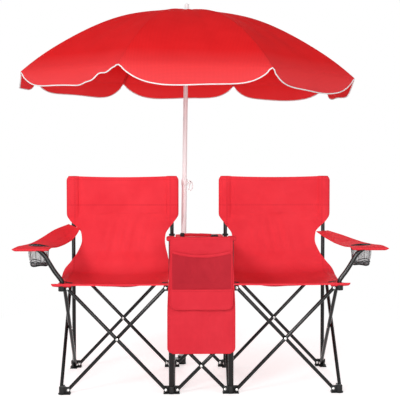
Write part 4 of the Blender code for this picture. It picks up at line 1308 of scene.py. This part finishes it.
for side, sign in SIDES.items():
    body = f"{side}_outer_front_hub"
    name = f"{side}_armrest"

    def rest_at(across, share):
        return armrest_point(sign, (across + 1) / 2, share), (across * 0.055, share * 0.42)

    strip = bmesh.new()
    cloth_grid(strip, 24, 60, rest_at)
    bmesh.ops.recalc_face_normals(strip, faces=strip.faces)
    rest = piece(f"{name}_cloth", strip, body, "seat_cloth", ARM_CLOTH, stands_for=name)
    thicken(rest, ARMREST_THICKNESS)
    centre = Vector((sign * CUP_AT[0], CUP_AT[1], 0))
    hole = bmesh.new()
    rod(hole, centre + UP * 0.50, centre + UP * 0.62, CUP_RADIUS - 0.0006, 0, 48)
    cutter = add("cutter", as_mesh("cutter", hole))
    cut = rest.modifiers.new("cup_hole", "BOOLEAN")
    cut.operation = "DIFFERENCE"
    cut.solver = "EXACT"
    cut.object = cutter
    made_solid(rest)
    bpy.data.objects.remove(cutter)

    # bound edges, and the front hem, which is pressed shut at both ends
    edges = bmesh.new()
    for across in (0.0, 1.0):
        line = [armrest_point(sign, across, n / 24) for n in range(25)]
        bent_rod(edges, line, EDGING_RADIUS, 12, 2)
    hem = bmesh.new()
    bent_rod(hem, [(sign * x, FRONT_POST_Y, HEM_Z) for x in HEM_XS], HEM_RADIUS)
    for vert in hem.verts:
        x = abs(vert.co.x)
        shut = min(1, (HEM_OUTER_END - x) / 0.010, (x - HEM_INNER_END) / 0.020)
        spread = math.sqrt(max(0.12, shut))
        vert.co.y = FRONT_POST_Y + (vert.co.y - FRONT_POST_Y) * spread
        vert.co.z = HEM_Z + (vert.co.z - HEM_Z) * HEM_FLATNESS * spread
    join(edges, hem)
    cloth_map(edges)
    edging = piece(f"{name}_edging", edges, body, "seat_cloth", ARM_CLOTH)

    # the loop round the rear post and the binding of the cup's hole
    loop = bmesh.new()
    low = REST_LOOP_Z[side]
    post = corner_at(side, "outer", "rear")
    ring(loop, post, low, low + REST_LOOP_HEIGHT, REST_LOOP_BORE, REST_LOOP_RADIUS, 0.0008)
    hole_edge = [
        armrest_at(sign, CUP_AT[0] + CUP_RADIUS * math.cos(t), CUP_AT[1] + CUP_RADIUS * math.sin(t))
        for t in circle(28)
    ]
    bent_rod(loop, hole_edge, HOLE_BINDING_RADIUS, 12, 2, True)
    bound = piece(f"{name}_binding", loop, body, "seat_cloth", WEBBING)
    for each in (rest, edging, bound):
        fold_forward(each)

# Cup holders: open grey netting hung from a black band sewn into each armrest, with a ring
# round the bottom, four seams and two webbing cords that cross under it.
CUP_FLOOR_Z = 0.4870
CUP_TAPER = 0.12
CUP_FOOT_TAPER = 0.10
NET_ROWS = 24
STRAND = 0.0007
FLOOR_RING_RADIUS = 0.0034
FOLD_RING_RADIUS = 0.0017
SEAM_RADIUS = 0.0011
CORD_RADIUS = 0.0014
SEAM_TURNS = (0.3, 1.6, 3.3, 4.9)
CORD_TURNS = (0.3, 0.3 + math.pi / 2)
CORD_HALF = 0.030

NETTING = worn(
    "grey_netting",
    (120, 3),
    (),
    (0.5, 0.7),
    ((0.3, (0.20, 0.20, 0.21)), (0.7, (0.33, 0.33, 0.34))),
    specular_ior_level=0.3,
)


def net_point(sign, at):
    """Places a point of the net: at is a unit cup that opens upwards, at.z its depth."""
    turn = math.atan2(at.y, at.x)
    slack = 0.0026 * math.sin(5 * turn + 1) + 0.0018 * math.sin(8 * turn + 3 * at.z)
    reach = math.hypot(at.x, at.y)
    radius = (CUP_RADIUS - 0.0010) * reach + slack * reach * math.sin(math.pi * min(at.z, 1))
    x = CUP_AT[0] + radius * math.cos(turn)
    y = CUP_AT[1] + radius * math.sin(turn)
    rim = armrest_at(sign, x, y).z - 0.001
    floor_z = CUP_FLOOR_Z + 0.05 * (y - CUP_AT[1]) + 0.0030 * math.sin(3 * turn + 1) * reach
    return Vector((sign * x, y, rim + (floor_z - rim) * at.z))


def cup_wall(depth):
    """The net's radius at a depth, where 1 is its rim's radius and its whole depth."""
    return 1 - CUP_TAPER * depth - CUP_FOOT_TAPER * depth**5


def net_ring(sign, radius, depth_at):
    """A closed line of points round the net."""
    places = [(radius * math.cos(t), radius * math.sin(t), depth_at(t)) for t in circle(24)]
    return [net_point(sign, Vector(place)) for place in places]


def net_sheet(sign, profile, steps):
    """A part of the cup turned from its profile and hung in the armrest."""
    shape = lathe(profile, steps)
    for vert in shape.verts:
        vert.co = net_point(sign, vert.co)
    bmesh.ops.recalc_face_normals(shape, faces=shape.faces)
    return shape


for side, sign in SIDES.items():
    body = f"{side}_outer_front_hub"
    wall = [(cup_wall(n / NET_ROWS), n / NET_ROWS) for n in range(NET_ROWS + 1)]
    base = [(0.78 * (1 - n / 12), 1 + 0.02 * math.sin(n * 0.14)) for n in range(1, 12)]
    net = net_sheet(sign, wall + base, 72)
    holder = piece(f"{side}_cup_net", net, body, "seat_cloth", NETTING)
    strands = holder.modifiers.new("strands", "WIREFRAME")
    strands.thickness = STRAND
    strands.use_boundary = True
    made_solid(holder)
    rings = bmesh.new()
    bent_rod(rings, net_ring(sign, 0.79, lambda t: 1), FLOOR_RING_RADIUS, 12, 2, True)
    for turn in SEAM_TURNS:
        way = Vector((math.cos(turn), math.sin(turn), 0))
        seam = [net_point(sign, way * cup_wall(n / 6) + UP * (n / 6)) for n in range(7)]
        bent_rod(rings, seam, SEAM_RADIUS, 8, 3)
    low = Vector((sign * CUP_AT[0], CUP_AT[1], CUP_FLOOR_Z - 0.0012))
    for turn in CORD_TURNS:
        way = Vector((math.cos(turn), math.sin(turn), 0)) * CORD_HALF
        bent_rod(rings, [low - way, low - UP * 0.001, low + way], CORD_RADIUS, 8, 6)
    folds = net_ring(sign, 0.88, lambda t: 0.84 + 0.07 * math.sin(3 * t + 2))
    bent_rod(rings, folds, FOLD_RING_RADIUS, 8, 2, True)
    hoops = piece(f"{side}_cup_rings", rings, body, "seat_cloth", WEBBING)
    band = net_sheet(sign, [(0.99, 0.02 + 0.045 * n) for n in range(5)], 64)
    mouth = piece(f"{side}_cup_mouth_band", band, body, "seat_cloth", WEBBING)
    thicken(mouth, 0.0014)
    for each in (holder, hoops, mouth):
        fold_forward(each)

# Cooler table: a cloth table top stretched between the four inner posts. An insulated cooler
# bag hangs under its front half behind a wide front panel with a flap and a net pocket.
PANEL_FRONT_Y = -0.4878
PANEL_TOP_Z = 0.6030
PANEL_LOW_Z = 0.159
PANEL_CORNER = 0.020
PANEL_TOP_HALF = 0.1178
PANEL_WIDENING = 0.0095
PANEL_BINDING_RADIUS = 0.0026
BAG_HALF = 0.088
BAG_LOW_Z = 0.232
BAG_TOP_Z = 0.5745
BAG_REAR_Y = -0.2688
TABLE_TOP_Z = 0.590
TABLE_DEPTH = 0.011
TABLE_FALL = 0.021
TABLE_HALF = 0.0985
TABLE_REAR_Y = -0.042
TABLE_LAP = 0.0012
TABLE_STEP = 0.0010
POCKET_TOP_Z = 0.5430
POCKET_LOW_Z = 0.4033
POCKET_HALF = 0.1135
POCKET_SAG = 0.0160
POCKET_EDGE_RADIUS = 0.0022
HEM_HEIGHT = 0.0100
FLAP_TOP_Z = 0.4045
FLAP_LOW_Z = 0.3295
FLAP_HALF = 0.1185
FLAP_CORNER = 0.024
FLAP_BINDING_RADIUS = 0.0030

COOLER_TONES = ((0.67, 0.028, 0.044), (0.75, 0.040, 0.058))
COOLER_CLOTH = red_cloth("cooler_cloth", COOLER_TONES, seams=((0, 0.008), (1, -0.116), (1, 0.116)))
NET_TONES = ((0.44, 0.020, 0.032), (0.53, 0.028, 0.042))
NET_CLOTH = red_cloth("pocket_net", NET_TONES, rough=0.8, weave=2400.0)


def corner_cut(z, low, corner):
    """How much narrower a panel is at a height in its rounded low corners."""
    inside = max(0, low + corner - z) / corner
    return corner * (1 - math.sqrt(max(0, 1 - inside**2)))


def panel_point(across, z, stand=0.0):
    """A point on the front panel, which is wider towards the bottom."""
    half = PANEL_TOP_HALF + PANEL_WIDENING * ease((0.56 - z) / 0.26)
    half -= corner_cut(z, PANEL_LOW_Z, PANEL_CORNER)
    x = across * half
    belly = 0.0022 * math.sin((PANEL_TOP_Z - z) * 19) + 0.0016 * math.sin(x * 60 + z * 30)
    belly += 0.0012 * math.sin(x * 28 - z * 52)
    return Vector((x, PANEL_FRONT_Y - stand - belly * (1 - across**2), z))


def pocket_point(across, share):
    """A point on the net pocket, from its slack mouth down to its seam."""
    sag = POCKET_SAG * (1 - across**2) * (1 - share)
    z = POCKET_TOP_Z + (POCKET_LOW_Z - POCKET_TOP_Z) * share - sag
    out = 0.0075 * (1 - across**4) * math.sin(math.pi * min(share + 0.18, 1)) + 0.0040
    soft = math.sin(across * 9 + share * 4) + math.sin(across * 15 - share * 7)
    out += 0.0014 * soft * (1 - across**2) * math.sin(math.pi * min(max(share, 0) + 0.1, 1))
    return Vector((0.0015 + across * POCKET_HALF, PANEL_FRONT_Y - out, z))


def flap_point(across, share):
    """A point on the flap, from its seam to its free edge with rounded corners."""
    z = FLAP_TOP_Z + (FLAP_LOW_Z - FLAP_TOP_Z) * share
    out = 0.0065 + 0.006 * share - 0.002 * across**2
    out += 0.0012 * math.sin(across * 6 + share * 3) * share
    half = FLAP_HALF - corner_cut(z, FLAP_LOW_Z, FLAP_CORNER)
    return Vector((across * half, PANEL_FRONT_Y - out, z))


def front_at(across, share):
    z = PANEL_TOP_Z + (PANEL_LOW_Z - PANEL_TOP_Z) * share
    return panel_point(across, z), (across * 0.123, share * 0.445)


def pocket_at(across, share):
    return pocket_point(across, share), (across * 0.12, share * 0.14)


def hem_at(across, share):
    rise = HEM_HEIGHT * (1 - share) - 0.0008
    stand = Vector((0, -0.0020 - 0.0012 * math.sin(math.pi * share), rise))
    return pocket_point(across, 0.0) + stand, (across * 0.12, share * HEM_HEIGHT)


def flap_at(across, share):
    return flap_point(across, share), (across * 0.12, share * 0.08)


def narrowing(made):
    """Gives a piece of the front its own copy of its mesh."""
    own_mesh(made)


def cooler_sheet(name, grid, thickness, flat, held, rests_on, cloth=COOLER_CLOTH, solid=None):
    """A cloth of the cooler's front as a piece."""
    made = cloth_piece(name, "left_inner_front_leg", cloth, grid, thickness, solid)
    narrowing(made)


def cooler_edge(name, lines, radius, smooth, loop=False):
    """A round binding along lines on the cooler's front, as a piece."""
    binding = bmesh.new()
    for line in lines:
        bent_rod(binding, line, radius, 12, smooth, loop)
    cloth_map(binding)
    narrowing(piece(name, binding, "left_inner_front_leg", "seat_cloth", COOLER_CLOTH))


post = "left_inner_front_leg_post"
size = (0.004, (0.25, 0.45))
cooler_sheet("cooler_front", (40, 80, front_at), *size, "hung", post, solid="cooler_table")
drops = [PANEL_TOP_Z + (PANEL_LOW_Z - PANEL_TOP_Z) * n / 60 for n in range(61)]
edge = [panel_point(-1, z, 0.001) for z in drops] + [panel_point(1, z, 0.001) for z in drops[::-1]]
cooler_edge("cooler_front_binding", [edge], PANEL_BINDING_RADIUS, 1, True)
size = (0.0016, (0.24, 0.14))
cooler_sheet("cooler_pocket", (40, 30, pocket_at), *size, "hung", "cooler_front", NET_CLOTH)
size = (0.0018, (0.235, 0.010))
cooler_sheet("cooler_pocket_hem", (40, 6, hem_at), *size, "stretched", "cooler_pocket")
sides = [[pocket_point(across, n / 8) for n in range(9)] for across in (-1, 1)]
cooler_edge("cooler_pocket_edges", sides, POCKET_EDGE_RADIUS, 2)
cooler_sheet("cooler_flap", (40, 20, flap_at), 0.0036, (0.24, 0.08), "hung", "cooler_front")
shares = [n / 24 for n in range(25)]
edge = [flap_point(-1, t) for t in shares] + [flap_point(1, t) for t in shares[::-1]]
cooler_edge("cooler_flap_binding", [edge], FLAP_BINDING_RADIUS, 1)


def table_fall(y):
    """How far the stretched table cloth lies lower than at its front edge."""
    return TABLE_FALL * (y - PANEL_FRONT_Y) / (TABLE_REAR_Y - PANEL_FRONT_Y)


def table_halves(name, shape, finish_used, thickness):
    """Cuts a piece at the middle seam and hangs each half on its side's front post."""
    halves = {}
    for side, sign in SIDES.items():
        kept = shape.copy()
        geometry = kept.verts[:] + kept.edges[:] + kept.faces[:]
        cut = {"plane_co": (-sign * TABLE_LAP, 0, 0), "plane_no": (-sign, 0, 0)}
        bmesh.ops.bisect_plane(kept, geom=geometry, clear_outer=True, **cut)
        if side == "left":
            bmesh.ops.translate(kept, verts=kept.verts, vec=(0, 0, -TABLE_STEP))
        body = f"{side}_inner_front_leg"
        half = piece(f"{side}_{name}", kept, body, "seat_cloth", finish_used)
        thicken(half, thickness, -1.0)
        fold_forward(half)
        halves[side] = half
    shape.free()
    return halves


def soft_box(low, high, corner, bulge, cuts=18):
    """A sewn box of cloth whose edges are round and whose sides swell a little."""
    low, high = Vector(low), Vector(high)
    half, middle = (high - low) / 2, (high + low) / 2
    part = bmesh.new()
    bmesh.ops.create_cube(part, size=2)
    bmesh.ops.subdivide_edges(part, edges=part.edges[:], cuts=cuts, use_grid_fill=True)
    for vert in part.verts:
        share = vert.co.copy()
        inner = Vector([max(-h + corner, min(h - corner, s * h)) for s, h in zip(share, half)])
        way = Vector([s * h for s, h in zip(share, half)]) - inner
        place = inner + (way.normalized() * corner if way.length > 0 else way)
        swell = [1 - s * s for s in share]
        for axis in range(3):
            others = swell[(axis + 1) % 3] * swell[(axis + 2) % 3]
            if abs(share[axis]) > 0.999:
                place[axis] += math.copysign(bulge * others, share[axis])
        vert.co = middle + place
    bmesh.ops.recalc_face_normals(part, faces=part.faces)
    cloth_map(part)
    return part


low, high = (-BAG_HALF, PANEL_FRONT_Y + 0.003, BAG_LOW_Z), (BAG_HALF, BAG_REAR_Y, BAG_TOP_Z)
bag = soft_box(low, high, 0.014, 0.003)
for vert in bag.verts:
    lift = (vert.co.z - BAG_LOW_Z) / (TABLE_TOP_Z - BAG_LOW_Z)
    vert.co.z -= table_fall(vert.co.y) * lift**3
    vert.co.x += 0.002 * math.sin(vert.co.z * 30 + vert.co.y * 20) * (1 - lift)
for side, cooler in table_halves("cooler_bag", bag, COOLER_CLOTH, 0.0022).items():
    under = [f"{side}_table_cloth"]

low = (-TABLE_HALF, PANEL_FRONT_Y + 0.001, TABLE_TOP_Z - TABLE_DEPTH)
table = soft_box(low, (TABLE_HALF, TABLE_REAR_Y, TABLE_TOP_Z), 0.0045, 0.0, 24)
for vert in table.verts:
    vert.co.z -= table_fall(vert.co.y)
for side, top in table_halves("table_cloth", table, COOLER_CLOTH, 0.0022).items():
    posts = [f"{side}_inner_front_leg_post"]

# Table fixings: padded cloth caps over the front posts' tops and webbing loops round the rear
# posts, which hold the table's corners.
CAP_LOW = Vector((-0.0165, -0.0185, 0.5875))
CAP_HIGH = Vector((0.0165, 0.0150, 0.6045))
CAP_SHIFT = 0.002
LOOP_LOW_Z = 0.5618
LOOP_TOP_Z = 0.5700
LOOP_BORE = 0.0094
LOOP_RADIUS = 0.0127
for side, sign in SIDES.items():
    at = corner_at(side, "inner", "front") + Vector((sign * CAP_SHIFT, 0, 0))
    cap = soft_box(at + CAP_LOW, at + CAP_HIGH, 0.006, 0.001, 10)
    front = f"{side}_inner_front_leg"
    piece(f"{side}_table_cap", cap, front, "seat_cloth", COOLER_CLOTH)
    loop = bmesh.new()
    rear = corner_at(side, "inner", "rear")
    ring(loop, rear, LOOP_LOW_Z, LOOP_TOP_Z, LOOP_BORE, LOOP_RADIUS, 0.0010)
    piece(f"{side}_table_loop", loop, f"{side}_inner_rear_leg", "seat_cloth", WEBBING)

# Carrying handle: a rolled red cloth strap across the table, with a folded black webbing tab
# sewn on at each end.
HANDLE_Y = -0.26
HANDLE_RADIUS = 0.0062
# Places across the table and heights over its cloth
HANDLE_RUN = (
    (-0.066, 0.0080),
    (-0.050, 0.0100),
    (-0.020, 0.0095),
    (0.020, 0.0078),
    (0.046, 0.0066),
)
TAB_HALF = 0.016
TAB_LIFT = 0.0004
# Each tab's start and end across the table, and its height
TABS = ((-0.0790, -0.0625, 0.0165), (0.0435, 0.0735, 0.0085))

base = TABLE_TOP_Z - table_fall(HANDLE_Y)
handle = bmesh.new()
bent_rod(handle, [(x, HANDLE_Y, base + rise) for x, rise in HANDLE_RUN], HANDLE_RADIUS, 18, 5)
cloth_map(handle)
table_halves("cooler_handle", handle, COOLER_CLOTH, 0.0012)
tabs = bmesh.new()
for start, end, tall in TABS:
    low, high = (start, HANDLE_Y - TAB_HALF, base + TAB_LIFT), (end, HANDLE_Y + TAB_HALF, base + tall)
    join(tabs, soft_box(low, high, 0.0035, 0.0006, 8))
table_halves("cooler_handle_tab", tabs, WEBBING, 0.0012)
